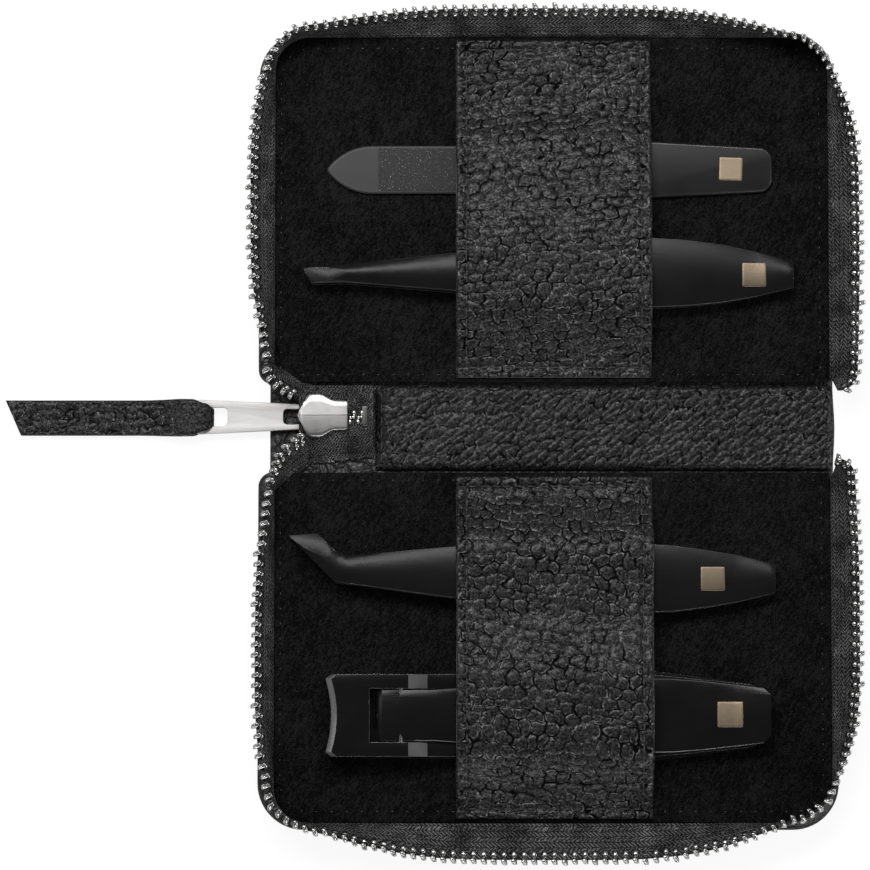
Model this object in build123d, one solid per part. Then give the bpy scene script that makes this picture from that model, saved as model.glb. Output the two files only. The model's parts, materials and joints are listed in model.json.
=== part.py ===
from build123d import *
from math import atan2, cos, hypot, pi, sin, sqrt
import os

# Zip-around manicure case, lying open. Millimetres, +Z up. The origin is on the underside of the
# spine, at its middle: +X runs along the spine, +Y towards the upper half.

# Case: two panels joined by a spine
case_left = 56.7  # origin to the cover's left edge
case_right = 55.9
spine_width = 17.0
panel_depth = 69.5  # fold line to the outer edge
outer_corner = 9.0
inner_corner = 3.0
spine_left = 54.4  # the spine's own cover ends short of the panels
spine_right = 55.0
cover_thickness = 1.2
board_thickness = 0.8
lining_thickness = 0.8
lining_left = 53.4
lining_right = 54.4
lining_margin = 1.4  # cover edge to lining edge, on the side away from the spine
fold_gap = 0.3  # half-gap that the linings leave at each fold
cover_round = 0.4
spine_lining_left = 34.0
spine_lining_right = 54.8

# Zip wall: tape that stands up round three sides of a panel, with teeth on its rim
tape_thickness = 0.6
tape_flange = 4.5  # sewn in between the cover and the lining
wall_clearance = 0.05
wall_corner = 7.0
wall_length = 8.3  # lining to tooth tip, up the wall
wall_left_start = 3.7  # fold line to the wall's left end, past the slider
wall_right_start = 1.2
side_steps = 10  # stretches of the wall in each side
corner_steps = 7
upper_flare = (1.3, 4.6, 0.3, 4.7, -2.0, 5.7, 5.1)
lower_flare = (0.8, 3.3, 0.4, 7.6, -2.0, 5.1, 4.3)

# Zip teeth
tooth_pitch = 1.95
tooth_width = 0.95
tooth_length = 2.5
tooth_leg = 0.8  # half thickness where it grips the tape
tooth_shoulder = 1.5  # where the head starts to narrow
tooth_tip = 0.4
tooth_reach = 0.9  # the tooth past the tape's edge

# Straps over the tools
strap_left = 18.2
strap_right = 19.8
strap_thickness = 1.2
strap_inset = 1.2  # fold line to the strap's end
strap_seam = 4.4  # flat length that is sewn down
strap_outer_end = 0.7  # lining edge to the strap's other end
strap_bend = 2.5
strap_slack = 0.3
tweezer_side_play = 0.5  # beside the tweezers, before the strap slopes down
file_side_play = 0.8
file_strap_rise = 0.4
file_strap_run = 5.5  # file's side to where the strap meets the lining again
clipper_slack = 1.2  # room for the lever to lift a little
clipper_near_bend = 1.0  # clipper's sides to the strap's bends over it
clipper_far_bend = 0.6
clipper_strap_run = 4.6

# Nail file
file_inset = 27.6  # cover's outer edge to the file's middle
file_tip_x = -43.5
file_point = 9.0  # length of the pointed end, up to full width
file_tip_round = 0.9
file_end_x = 43.55
file_blade_width = 9.4
file_handle_width = 11.3
file_end_width = 8.6
file_end_round = 2.6
file_thickness = 1.3
file_edge_bevel = 0.35
file_shoulder_x = 14.0
file_shoulder_run = 6.0  # length in which the blade widens to the handle
file_shoulder_round = 4.0
grit_start_x = -33.3
grit_end_x = 13.0
grit_margin = 0.5
grit_thickness = 0.15

# Tweezers
arm_thickness = 1.3
arm_edge = 0.75  # thickness at the arm's long edges, which its crown rises from
edge_bevel = 0.12
arm_weld = 7.3
arm_bow = 1.38  # half the gap between the arms at their widest
arm_tip_gap = 2.2
arm_bow_x = -5.0
arm_stations = 12  # stretches that an arm is lofted in
facet_tip = 0.5  # thickness that the ground facet leaves at the tip
# Along x: width, then the middle's offset. Tips: north and south corner.
tweezer_wide_x = 20.0
slant_inset = 21.2  # fold line to the tweezers' middle
slant_end_x = 47.3
slant_neck_x = -40.0
slant_wide = 13.6
slant_widths = (
    (slant_end_x, 5.2),
    (35.0, 10.9),
    (tweezer_wide_x, slant_wide),
    (0.8, 11.4),
    (-18.4, 7.5),
    (slant_neck_x, 3.4),
)
slant_middles = ((slant_end_x, -0.2), (tweezer_wide_x, 0.1), (-18.4, 0.2), (slant_neck_x, -0.1))
slant_tip = ((-47.8, 0.9), (-46.2, -2.0))
slant_facet = 7.4  # length of the ground facet
angled_inset = 21.1
angled_end_x = 43.4
angled_elbow_x = -39.3
angled_wide = 13.3
angled_widths = (
    (angled_end_x, 5.8),
    (35.0, 9.6),
    (tweezer_wide_x, angled_wide),
    (0.0, 12.2),
    (-19.0, 9.9),
    (angled_elbow_x, 5.3),
)
angled_middles = ((angled_end_x, 0.0), (tweezer_wide_x, 0.0), (-19.0, 1.15), (angled_elbow_x, 1.6))
angled_neck = ((-40.9, 4.9), (-41.5, -0.8))
angled_tip = ((-45.1, 8.65), (-50.4, 8.2))
angled_facet = 3.6

# Nail clipper
clipper_inset = 21.9  # cover's outer edge to the clipper's middle
clipper_front_x = -43.4
clipper_end_x = 41.2
clipper_front_width = 15.8
clipper_corner = 1.1  # corner cut off each end of the cutting edge
clipper_corner_side = 0.85
clipper_corner_round = 0.4
clipper_side_round = 30.0
clipper_end_round = 3.5
clipper_bevel = 1.1
clipper_bevel_drop = 0.8
clipper_wide = 17.3
clipper_wide_x = 20.0
clipper_end_width = 11.6
upper_arm_wide = 15.7
clipper_arm = 1.45
clipper_edge_hollow = 1.1
clipper_gap = 1.8  # between the cutting edges
clipper_joint_x = 30.0  # the arms lie on each other behind here
clipper_slope = 0.0367
clipper_step_x = -25.6
clipper_step_run = 3.5
clipper_step_rise = 1.5
clipper_jaw = 4.9  # length of the lower arm's turned-up jaw
clipper_lip_depth = 1.7  # of the upper arm, front to back
clipper_lip = 1.0
window_front_x = -34.9
window_back_x = -22.4
window_width = 10.35
lever_front_x = -33.4
lever_nose_width = 9.8
lever_wide = 14.3
lever_shoulder_width = 12.9
lever_shoulder_x = 31.0
lever_stations = 10
lever_edge = 0.85
lever_bevel = 0.9
lever_end_x = 42.3
lever_end_width = 10.2
lever_end_face = 8.0
lever_thickness = 1.2
lever_lift = 1.1  # how far the lever's end turns up
lever_gap = 0.25
axle_x = -28.9
axle_radius = 0.4
axle_reach = 1.2  # into each rail of the upper arm
running_gap = 0.05
post_x = -31.6
post_radius = 1.3
post_head_radius = 1.9
post_head = 0.6
post_height = 1.9
rivet_x = 36.0
rivet_radius = 1.6
seat_gap = 0.02  # between a tool and the lining that it lies on

# Zip end: closed chain, slider, puller and leather tab on the spine
chain_y = 2.06
chain_z = 4.8
chain_right = 36.4
chain_tooth = 0.85
chain_half_width = 2.1
chain_overlap = 0.35
chain_height = 1.6
end_tape_left = 49.3
end_tape_right = 35.2
end_tape_flat = 4.7
end_tape_thickness = 0.5
end_tape_low = -7.8
end_tape_high = 8.1
end_tape_notch = 7.4
end_tape_notch_width = 3.4
end_tape_notch_straight = 4.2
stop_width = 1.1
slider_nose = 48.8
slider_bottom_reach = 0.3  # the bottom plate's nose, past the top one's
slider_length = 9.5
slider_shoulder = 1.8  # nose to shoulder
slider_shoulder_length = 2.7
slider_waist = 2.4
slider_width = 8.2
slider_tail_width = 5.65
slider_plate = 0.7
slider_edge = 0.35  # thickness at the top plate's edges
slider_crown = 0.5  # its ridge above them
slider_channel = 1.9
slider_flange = 0.6
slider_slot = 0.75  # for the tape, between the flanges
bridge_width = 1.8
bridge_bar = 0.7
bridge_leg = 1.2
bridge_gap = 1.2
bridge_length = 7.6
puller_thickness = 1.0
puller_width = 4.7
puller_end_width = 6.9
puller_left = 69.5
puller_bar = 1.0
puller_eye = 4.3
puller_eye_width = 3.0
puller_end_bar = 2.9
puller_slot_right = 62.6
puller_slot_width = 3.7
puller_tilt = 1.45
tab_left = 105.9
tab_slant = 3.0
tab_width = 6.8
tab_leather = 1.0
tab_loop_play = 0.45
tab_neck_width = 3.3
tab_neck = 1.3
tab_floor = 0.02

# Levels and edges that follow
fold_y = spine_width / 2
cover_y = fold_y + panel_depth
lining_y = cover_y - lining_margin
board_z = cover_thickness
lining_z = board_z + board_thickness
top_z = lining_z + lining_thickness
wall_x0 = -lining_left - wall_clearance - tape_thickness / 2
wall_x1 = lining_right + wall_clearance + tape_thickness / 2
wall_y1 = lining_y + wall_clearance + tape_thickness / 2
wall_y0_left = fold_y + wall_left_start
wall_y0_right = fold_y + wall_right_start
strap_y0 = fold_y + strap_inset
strap_y1 = lining_y - strap_outer_end
tool_z = top_z + seat_gap
file_y = cover_y - file_inset
slant_y = fold_y + slant_inset
angled_y = -fold_y - angled_inset
clipper_y = clipper_inset - cover_y
os.makedirs("parts", exist_ok=True)


def save(name, shape):
    export_step(shape, f"parts/{name}.step")
    print(name, round(shape.volume, 1))


def box(x, y, z):
    """Box between two limits on each axis."""
    size = [high - low for low, high in (x, y, z)]
    middle = [(high + low) / 2 for low, high in (x, y, z)]
    return Pos(*middle) * Box(*size)


def plate(outline, z, thickness):
    """Plate of a flat outline, between z and z + thickness."""
    return extrude(Pos(0, 0, z) * outline, amount=thickness)


def outline(points, radii):
    """Closed outline with a rounding at each corner that has one."""
    face = make_face(Polyline(*points, close=True))
    for point, radius in zip(points, radii):
        if radius:
            corner = face.vertices().sort_by_distance((point[0], point[1], 0))[0]
            face = fillet(corner, radius)
    return face


def tray_outline(x, y, outer_radius, inner_radius):
    """Panel-shaped outline, rounded more on the side away from the spine."""
    corners = ((x[0], y[0]), (x[1], y[0]), (x[1], y[1]), (x[0], y[1]))
    return outline(corners, (inner_radius, inner_radius, outer_radius, outer_radius))


def on_half(shape, side):
    """The shape on the upper half, or mirrored to the lower one."""
    return shape if side > 0 else mirror(shape, about=Plane.XZ)


# ---------------------------------------------------------------- panels and spine


def panel_cover():
    face = tray_outline((-case_left, case_right), (fold_y, cover_y), outer_corner, inner_corner)
    solid = plate(face, 0, cover_thickness)
    edges = solid.edges().filter_by(lambda e: e.center().Z > cover_thickness - 0.01)
    return chamfer(edges.filter_by(lambda e: e.center().Y > fold_y + 0.1), cover_round)


def panel_board():
    inset = tape_flange + wall_clearance
    x = (wall_x0 + inset, wall_x1 - inset)
    face = tray_outline(x, (fold_y + inset, wall_y1 - inset), wall_corner - tape_flange, 1)
    return plate(face, board_z, board_thickness)


def panel_lining():
    radius = wall_corner - tape_thickness / 2
    x = (-lining_left, lining_right)
    face = tray_outline(x, (fold_y + fold_gap, lining_y), radius, 1)
    return plate(face, lining_z, lining_thickness)


def spine_cover():
    x = (-spine_left, spine_right)
    return box(x, (-fold_y, fold_y), (0, cover_thickness))


def spine_lining():
    """Padded leather facing, as high as the panels' linings."""
    x = (-spine_lining_left, spine_lining_right)
    y = (-fold_y + fold_gap, fold_y - fold_gap)
    solid = box(x, y, (cover_thickness, top_z))
    ends = solid.edges().filter_by(Axis.Y).group_by(Axis.Z)[-1]
    return fillet(ends, 0.7 * (top_z - cover_thickness))


# ---------------------------------------------------------------- zip wall


def wall_lengths():
    """Lengths of left side, corner, top side, corner and right side of the wall's base line."""
    quarter = wall_corner * pi / 2
    left = wall_y1 - wall_corner - wall_y0_left
    top = wall_x1 - wall_x0 - 2 * wall_corner
    return left, quarter, top, quarter, wall_y1 - wall_corner - wall_y0_right


def wall_base(s):
    """Point on the wall's base line and its outward direction, s along from the left end."""
    left, quarter, top, _, _ = wall_lengths()
    y = wall_y1 - wall_corner
    if s <= left:
        return Vector(wall_x0, wall_y0_left + s, 0), Vector(-1, 0, 0)
    if s <= left + quarter:
        turn = (s - left) / wall_corner
        out = Vector(-cos(turn), sin(turn), 0)
        return Vector(wall_x0 + wall_corner, y, 0) + out * wall_corner, out
    if s <= left + quarter + top:
        return Vector(wall_x0 + wall_corner + s - left - quarter, wall_y1, 0), Vector(0, 1, 0)
    if s <= left + 2 * quarter + top:
        turn = (s - left - quarter - top) / wall_corner
        out = Vector(sin(turn), cos(turn), 0)
        return Vector(wall_x1 - wall_corner, y, 0) + out * wall_corner, out
    return Vector(wall_x1, y - (s - left - 2 * quarter - top), 0), Vector(1, 0, 0)


def wall_flare(s, flares):
    """How far the wall's rim leans out: most at mid-side, least at corners and ends."""
    left, quarter, top, _, right = wall_lengths()
    corner_1 = left + quarter / 2
    corner_2 = left + quarter + top + quarter / 2
    end = sum(wall_lengths())
    places = (0, left * 0.55, corner_1, left + quarter + top / 2, corner_2, end - right * 0.5, end)
    for k in (1, 3, 5):
        if s <= places[k + 1] or k == 5:
            other = k - 1 if s < places[k] else k + 1
            share = abs(s - places[k]) / abs(places[other] - places[k])
            ease = (1 - cos(pi * min(share, 1) ** 2)) / 2
            return flares[k] + (flares[other] - flares[k]) * ease


def wall_frame(s, flares):
    """Foot of the sloping wall and the direction up it, s along the base line."""
    foot, out = wall_base(s)
    lean = wall_flare(s, flares)
    up = out * (lean / wall_length) + Vector(0, 0, sqrt(1 - (lean / wall_length) ** 2))
    return foot + Vector(0, 0, top_z), out, up


def wall_section(s, flares):
    """Corners of the tape's section: flange between the leathers, then up the leaning wall."""
    foot, out, up = wall_frame(s, flares)
    rim = foot + up * (wall_length - tooth_reach)
    side = out * (tape_thickness / 2)
    across = (out - up * up.dot(out)).normalized() * (tape_thickness / 2)
    low = Vector(0, 0, board_z - top_z)
    seam = Vector(0, 0, lining_z - top_z)
    flange = out * -tape_flange
    inner = (foot + flange + low, foot + flange + seam, foot - side + seam, foot - side)
    return [*inner, rim - across, rim + across, foot + side, foot + side + low]


def faceted_band(sections):
    """Closed solid through sections with as many corners each, in flat three-cornered facets."""
    faces = [Face(Wire.make_polygon(section, close=True)) for section in (sections[0], sections[-1])]
    for near, far in zip(sections, sections[1:]):
        for k in range(len(near)):
            j = (k + 1) % len(near)
            faces.append(Face(Wire.make_polygon((near[k], near[j], far[j]), close=True)))
            faces.append(Face(Wire.make_polygon((near[k], far[j], far[k]), close=True)))
    return Solid(Shell(faces))


def zip_tape(flares):
    stations = [0.0]
    for k, length in enumerate(wall_lengths()):
        start = stations[-1]
        steps = corner_steps if k % 2 else side_steps
        stations += [start + length * (n + 1) / steps for n in range(steps)]
    return faceted_band([wall_section(s, flares) for s in stations])


def tooth_profile():
    """Section of a tooth: legs that grip the tape, and a narrower head."""
    half = ((tooth_leg, 0), (tooth_leg, tooth_shoulder), (tooth_tip, tooth_length))
    return [*half, *((-a, b) for a, b in reversed(half))]


def rim_stations(flares):
    """Places along the base line where the rim has gained one more tooth pitch."""
    end = sum(wall_lengths())
    steps = int(end * 4)
    places, gone, last = [], 0.0, None
    for k in range(steps + 1):
        s = end * k / steps
        foot, _, up = wall_frame(s, flares)
        tip = foot + up * (wall_length - tooth_length / 2)
        gone += (tip - last).length if last else tooth_pitch / 2
        last = tip
        if gone >= tooth_pitch:
            gone -= tooth_pitch
            places.append(s)
    return [s for s in places if s < end - tooth_width]


def zip_teeth(flares):
    teeth = []
    for s in rim_stations(flares):
        foot, out, up = wall_frame(s, flares)
        along = out.cross(Vector(0, 0, 1))
        base = foot + up * (wall_length - tooth_length) - along * (tooth_width / 2)
        seat = Plane(origin=base, x_dir=along.cross(up), z_dir=along)
        profile = Polyline(*((a, b * seat.y_dir.dot(up)) for a, b in tooth_profile()), close=True)
        teeth.append(extrude(seat * make_face(profile), amount=tooth_width))
    return Compound(children=[tooth.solid() for tooth in teeth])


# ---------------------------------------------------------------- straps


def beside(points, distance):
    """The open line through the points, moved sideways to its left."""
    moved = []
    for k, (a, b) in enumerate(points):
        before = points[max(k - 1, 0)]
        after = points[min(k + 1, len(points) - 1)]
        ways = []
        for p, q in ((before, (a, b)), ((a, b), after)):
            size = hypot(q[0] - p[0], q[1] - p[1])
            if size:
                ways.append(((p[1] - q[1]) / size, (q[0] - p[0]) / size))
        nx = sum(w[0] for w in ways) / len(ways)
        ny = sum(w[1] for w in ways) / len(ways)
        scale = distance / (nx * nx + ny * ny)
        moved.append((a + nx * scale, b + ny * scale))
    return moved


def strap(under):
    """Strap of even thickness whose underside runs through these (y, z) points."""
    low = FilletPolyline(*under, radius=strap_bend)
    high = FilletPolyline(*beside(under, strap_thickness), radius=strap_bend)
    ends = Line(low @ 0, high @ 0) + Line(low @ 1, high @ 1)
    face = make_face(low + high + ends)
    return extrude(Plane.YZ.offset(-strap_left) * face, amount=strap_left + strap_right)


def upper_strap():
    near = slant_y - slant_wide / 2
    far = slant_y + slant_wide / 2
    high = tool_z + 2 * arm_thickness + 2 * arm_bow + strap_slack
    low = tool_z + file_thickness + strap_slack
    file_far = file_y + file_handle_width / 2
    under = (
        (strap_y0, top_z),
        (strap_y0 + strap_seam, top_z),
        (near - tweezer_side_play, high),
        (far + tweezer_side_play, high),
        (file_far + file_side_play, low + file_strap_rise),
        (file_far + file_strap_run, top_z),
        (strap_y1, top_z),
    )
    return strap(under)


def lower_strap():
    """Mirrored to the lower half by its caller."""
    near = -angled_y - angled_wide / 2
    far = -angled_y + angled_wide / 2
    high = tool_z + 2 * arm_thickness + 2 * arm_bow + strap_slack
    clipper_near = -clipper_y - clipper_wide / 2
    clipper_far = -clipper_y + clipper_wide / 2
    clipper_high = lever_top(-strap_left) + clipper_slack
    under = (
        (strap_y0, top_z),
        (strap_y0 + strap_seam, top_z),
        (near - tweezer_side_play, high),
        (far + tweezer_side_play, high),
        (clipper_near + clipper_near_bend, clipper_high),
        (clipper_far - clipper_far_bend, clipper_high),
        (clipper_far + clipper_strap_run, top_z),
        (strap_y1, top_z),
    )
    return strap(under)


# ---------------------------------------------------------------- nail file


def file_point_outline(blade, back):
    """Pointed end: each side is an arc that leaves the blade's edge along x."""
    radius = (file_point**2 + blade**2) / (2 * blade)
    turn = atan2(file_point, radius - blade) / 2
    x, y = back - radius * sin(turn), blade - radius * (1 - cos(turn))
    sides = (
        ThreePointArc((back, blade), (x, y), (file_tip_x, 0)),
        ThreePointArc((file_tip_x, 0), (x, -y), (back, -blade)),
        Line((back, -blade), (back, blade)),
    )
    return make_face([side.edge() for side in sides])


def file_outline():
    blade, handle, end = file_blade_width / 2, file_handle_width / 2, file_end_width / 2
    back = file_tip_x + file_point
    half = (
        (back, blade),
        (file_shoulder_x, blade),
        (file_shoulder_x + file_shoulder_run, handle),
        (file_end_x, end),
    )
    mirrored = [(a, -b) for a, b in reversed(half)]
    radii = (0, file_shoulder_round, file_shoulder_round, file_end_round)
    body = outline([*half, *mirrored], (*radii, *reversed(radii)))
    face = body + file_point_outline(blade, back)
    tip = face.vertices().sort_by(Axis.X)[0]
    return Pos(0, file_y, 0) * fillet(tip, file_tip_round)


def file_blade():
    solid = plate(file_outline(), tool_z, file_thickness - grit_thickness)
    rim = solid.edges().group_by(Axis.Z)[-1]
    return chamfer(rim, file_edge_bevel)


def file_grit():
    half = file_blade_width / 2 - grit_margin
    z = tool_z + file_thickness - grit_thickness
    return box((grit_start_x, grit_end_x), (file_y - half, file_y + half), (z, z + grit_thickness))


# ---------------------------------------------------------------- crowned strips


def smooth(marks, x):
    """Value at x on a smooth curve through (x, value) marks that run along x."""
    marks = sorted(marks)
    slopes = []
    for k in range(len(marks)):
        before, after = marks[max(k - 1, 0)], marks[min(k + 1, len(marks) - 1)]
        slopes.append((after[1] - before[1]) / (after[0] - before[0]))
    for k in range(len(marks) - 1):
        (x0, v0), (x1, v1) = marks[k], marks[k + 1]
        if x <= x1 or k == len(marks) - 2:
            t, run = (x - x0) / (x1 - x0), x1 - x0
            rise = slopes[k] * run * (t**3 - 2 * t**2 + t) + slopes[k + 1] * run * (t**3 - t**2)
            return v0 * (1 + 2 * t) * (1 - t) ** 2 + v1 * t**2 * (3 - 2 * t) + rise


def strip_section(south, north, z, thickness, edge, way=1):
    """Section of a steel strip between two plan points: flat on one side, crowned on the other."""
    a, b = Vector(*south, z), Vector(*north, z)
    across = (b - a).normalized()
    plane = Plane(origin=(a + b) / 2, x_dir=across, z_dir=across.cross(Vector(0, 0, 1)))
    half, top, rim = (b - a).length / 2, edge * way, (edge - edge_bevel) * way
    shoulder = half - edge_bevel
    flats = Polyline((-shoulder, top), (-half, rim), (-half, 0), (half, 0), (half, rim), (shoulder, top))
    crown = ThreePointArc((shoulder, top), (0, thickness * way), (-shoulder, top))
    return plane * make_face([*flats.edges(), crown.edge()])


def even_stations(start, end, count):
    return [start + (end - start) * k / count for k in range(count + 1)]


# ---------------------------------------------------------------- tweezers


def middle_z():
    """Level of the plane where a pair of tweezers' two arms meet."""
    return tool_z + arm_thickness + arm_bow


def arm_gap(x, weld_x, tip_x):
    """Half the gap between the two arms at x: none at the weld, most at the bow."""
    if x >= arm_bow_x:
        share = max(weld_x - x, 0) / (weld_x - arm_bow_x)
        return arm_bow * (1 - (1 - share) ** 2)
    share = min((arm_bow_x - x) / (arm_bow_x - tip_x), 1)
    return arm_bow - (arm_bow - arm_tip_gap / 2) * share**2


def tweezer_arm(y, way, widths, middles, *ends):
    """Arm from its weld along its widths and middles, then straight to each pair of corners."""
    end_x, neck_x = widths[0][0], widths[-1][0]
    weld_x, tip_x = end_x - arm_weld, min(corner[0] for corner in ends[-1])

    def section(north, south):
        x = (north[0] + south[0]) / 2
        z = middle_z() + way * arm_gap(x, weld_x, tip_x)
        low, high = (south[0], y + south[1]), (north[0], y + north[1])
        return strip_section(low, high, z, arm_thickness, arm_edge, way)

    def along(x):
        half, middle = smooth(widths, x) / 2, smooth(middles, x)
        return section((x, middle + half), (x, middle - half))

    body = [along(x) for x in even_stations(weld_x, neck_x, arm_stations)]
    return loft([along(end_x), *body, *(section(*corners) for corners in ends)], ruled=True)


def facet_cut(length, way):
    """What is ground off an arm's outside: a wedge that starts at 0 and deepens along its length."""
    back = middle_z() + way * (arm_tip_gap / 2 + arm_thickness)
    slope = way * (facet_tip - arm_thickness) / length
    far, near = length + 3, -3
    clear = back + 9 * way
    points = ((near, back + slope * near), (far, back + slope * far), (far, clear), (near, clear))
    return make_face(Polyline(*points, close=True))


def slant_arm(way):
    solid = tweezer_arm(slant_y, way, slant_widths, slant_middles, slant_tip)
    wedge = extrude(Plane.XZ * facet_cut(slant_facet, way), amount=30, both=True).rotate(Axis.Z, 180)
    return solid - Pos(slant_tip[0][0] + slant_facet, slant_y, 0) * wedge


def angled_arm(way):
    solid = tweezer_arm(angled_y, way, angled_widths, angled_middles, angled_neck, angled_tip)
    wedge = extrude(Plane.YZ * facet_cut(angled_facet, way), amount=12, both=True)
    return solid - Pos(angled_tip[0][0], angled_y + angled_tip[1][1] - angled_facet, 0) * wedge


# ---------------------------------------------------------------- nail clipper


def clipper_plan(wide):
    """Outline of an arm: hollow cutting edge in front, corners cut off, rounded end."""
    front, end = clipper_front_width / 2, min(clipper_end_width, wide) / 2
    x = clipper_front_x
    points = (
        (x, -front + clipper_corner_side),
        (x + clipper_corner, -front),
        (clipper_wide_x, -wide / 2),
        (clipper_end_x, -end),
    )
    mirrored = [(a, -b) for a, b in reversed(points)]
    radii = (0, clipper_corner_round, clipper_side_round, clipper_end_round)
    face = outline([*points, *mirrored], (*radii, *reversed(radii)))
    side = front - clipper_corner_side
    edge = ThreePointArc((x, -side), (x + clipper_edge_hollow, 0), (x, side))
    face -= make_face([*edge.edges(), Line((x, -side), (x, side)).edge()])
    return Pos(0, clipper_y, 0) * face


def lower_edge_z():
    return tool_z + clipper_arm + clipper_lip


def upper_arm_under(x):
    """Underside of the upper arm at x, between its joint and its step."""
    return tool_z + clipper_arm + max(clipper_joint_x - x, 0) * clipper_slope


def front_arm_under():
    """Underside of the raised front of the upper arm."""
    return upper_arm_under(clipper_step_x + clipper_step_run / 2) + clipper_step_rise


def lower_arm_side():
    x, z, t = clipper_front_x, tool_z, clipper_arm
    points = (
        (clipper_end_x, z),
        (x + clipper_jaw, z),
        (x + 0.8, z + 0.6),
        (x, lower_edge_z()),
        (x + 1.3, z + t + 0.7),
        (x + clipper_jaw - 2.2, z + t),
        (clipper_end_x, z + t),
    )
    return outline(points, (0.3, 3, 0.5, 0, 1, 1.5, 0.3))


def upper_arm_side():
    x, t = clipper_front_x, clipper_arm
    edge = lower_edge_z() + clipper_gap
    step = (clipper_step_x - clipper_step_run / 2, clipper_step_x + clipper_step_run / 2)
    back, front = upper_arm_under(step[1]), front_arm_under()
    points = (
        (clipper_end_x, tool_z + t),
        (clipper_joint_x, tool_z + t),
        (step[1], back),
        (step[0], front),
        (x + clipper_lip_depth + 1.2, front),
        (x + clipper_lip_depth, edge + 0.25),
        (x, edge),
        (x, front + t),
        (step[0], front + t),
        (step[1], back + t),
        (clipper_joint_x, tool_z + 2 * t),
        (clipper_end_x, tool_z + 2 * t),
    )
    return outline(points, (0, 0, 1.2, 1.2, 0.8, 0, 0, 0, 1.2, 1.2, 0, 0))


def clipper_arm_solid(side_view, wide):
    side = extrude(Plane.XZ * side_view, amount=90, both=True)
    return side & plate(clipper_plan(wide), 0, 30)


def rivet_hole():
    return Pos(rivet_x, clipper_y, 0) * Cylinder(rivet_radius, 60)


def clipper_lower_arm():
    post = Pos(post_x, clipper_y, 0) * Cylinder(post_radius, 60)
    return clipper_arm_solid(lower_arm_side(), clipper_wide) - rivet_hole() - post


def clipper_upper_arm():
    half = window_width / 2
    y = (clipper_y - half, clipper_y + half)
    window = box((window_front_x, window_back_x), y, (0, 40))
    bearing = axle_cylinder(axle_radius + running_gap, axle_reach + running_gap)
    relief = Pos(rivet_x, clipper_y, 0) * Cylinder(rivet_radius + running_gap, 60)
    solid = clipper_arm_solid(upper_arm_side(), upper_arm_wide) - window - bearing - relief
    top = front_arm_under() + clipper_arm
    levels = ((top - clipper_bevel_drop, 0), (top + clipper_bevel_drop, 2 * clipper_bevel))
    return solid - loft([Pos(shift, clipper_y, z) * ahead_of_edge() for z, shift in levels], ruled=True)


def ahead_of_edge():
    """Area in front of the cutting edge and its two cut corners."""
    x, front = clipper_front_x, clipper_front_width / 2
    side = front - clipper_corner_side
    edge = ThreePointArc((x, -side), (x + clipper_edge_hollow, 0), (x, side))
    corner = x + clipper_corner
    rest = ((corner, front), (corner, front + 3), (x - 4, front + 3))
    mirrored = [(a, -b) for a, b in reversed(rest)]
    return make_face([*edge.edges(), *Polyline((x, side), *rest, *mirrored, (x, -side)).edges()])


def axle_z():
    return front_arm_under() + clipper_arm / 2


def axle_cylinder(radius, reach):
    """Cylinder across the window at the lever's axis, reaching into both rails."""
    length = window_width + 2 * reach
    return Pos(axle_x, clipper_y, axle_z()) * Rot(90, 0, 0) * Cylinder(radius, length)


def lever_under(x):
    """Underside of the lever at x, ahead of the part that turns up."""
    start = axle_z() - lever_thickness / 2
    back_x = clipper_step_x + clipper_step_run
    if x <= back_x:
        return start
    end_z = tool_z + 2 * clipper_arm + lever_gap + 0.35
    share = (x - back_x) / (clipper_joint_x - back_x)
    return start + (end_z - start) * share


def lever_top(x):
    return lever_under(x) + lever_thickness


def lever_plan():
    """Cuts the corners off the lever's end."""
    side, face = lever_end_width / 2, lever_end_face / 2
    x = lever_end_x
    points = ((x - 90, -20), (x - 1.2 - 20, -20), (x - 1.2, -side), (x, -face))
    mirrored = [(a, -b) for a, b in reversed(points)]
    return Pos(0, clipper_y, 0) * outline([*points, *mirrored], (0, 0, 1, 0.8, 0.8, 1, 0, 0))


def clipper_lever():
    """Crowned lever, level between the rails, sloping down the arm and turned up at its end."""
    back_x = clipper_step_x + clipper_step_run
    widths = (
        (back_x, lever_nose_width),
        ((back_x + clipper_wide_x) / 2, (lever_nose_width + lever_wide) / 2 + 0.8),
        (clipper_wide_x, lever_wide),
        (lever_shoulder_x, lever_shoulder_width),
        (lever_end_x, lever_end_width),
    )

    def section(x, width):
        turned_up = max(x - lever_shoulder_x, 0) / (lever_end_x - lever_shoulder_x)
        z = lever_under(min(x, lever_shoulder_x)) + lever_lift * turned_up**2
        half = width / 2
        return strip_section((x, clipper_y - half), (x, clipper_y + half), z, lever_thickness, lever_edge)

    body = [section(x, smooth(widths, x)) for x in even_stations(back_x, lever_end_x, lever_stations)]
    solid = loft([section(lever_front_x, lever_nose_width), *body], ruled=True)
    nose = solid.edges().filter_by(lambda e: e.center().X < lever_front_x + 0.01)
    nose = nose.sort_by(Axis.Z)[-1]
    solid = chamfer(nose, lever_edge * 0.7, lever_bevel, reference=solid.faces().sort_by(Axis.X)[0])
    return (solid & plate(lever_plan(), 0, 30)) - axle_cylinder(axle_radius, axle_reach)


def clipper_post():
    """Post riveted into the lower arm, under the lever's nose."""
    top = tool_z + clipper_arm + post_height
    shank = Cylinder(post_radius, top - tool_z - 0.1, align=(Align.CENTER, Align.CENTER, Align.MIN))
    head = Cylinder(post_head_radius, post_head, align=(Align.CENTER, Align.CENTER, Align.MAX))
    return Pos(post_x, clipper_y, tool_z + 0.1) * shank + Pos(post_x, clipper_y, top) * head


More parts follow.
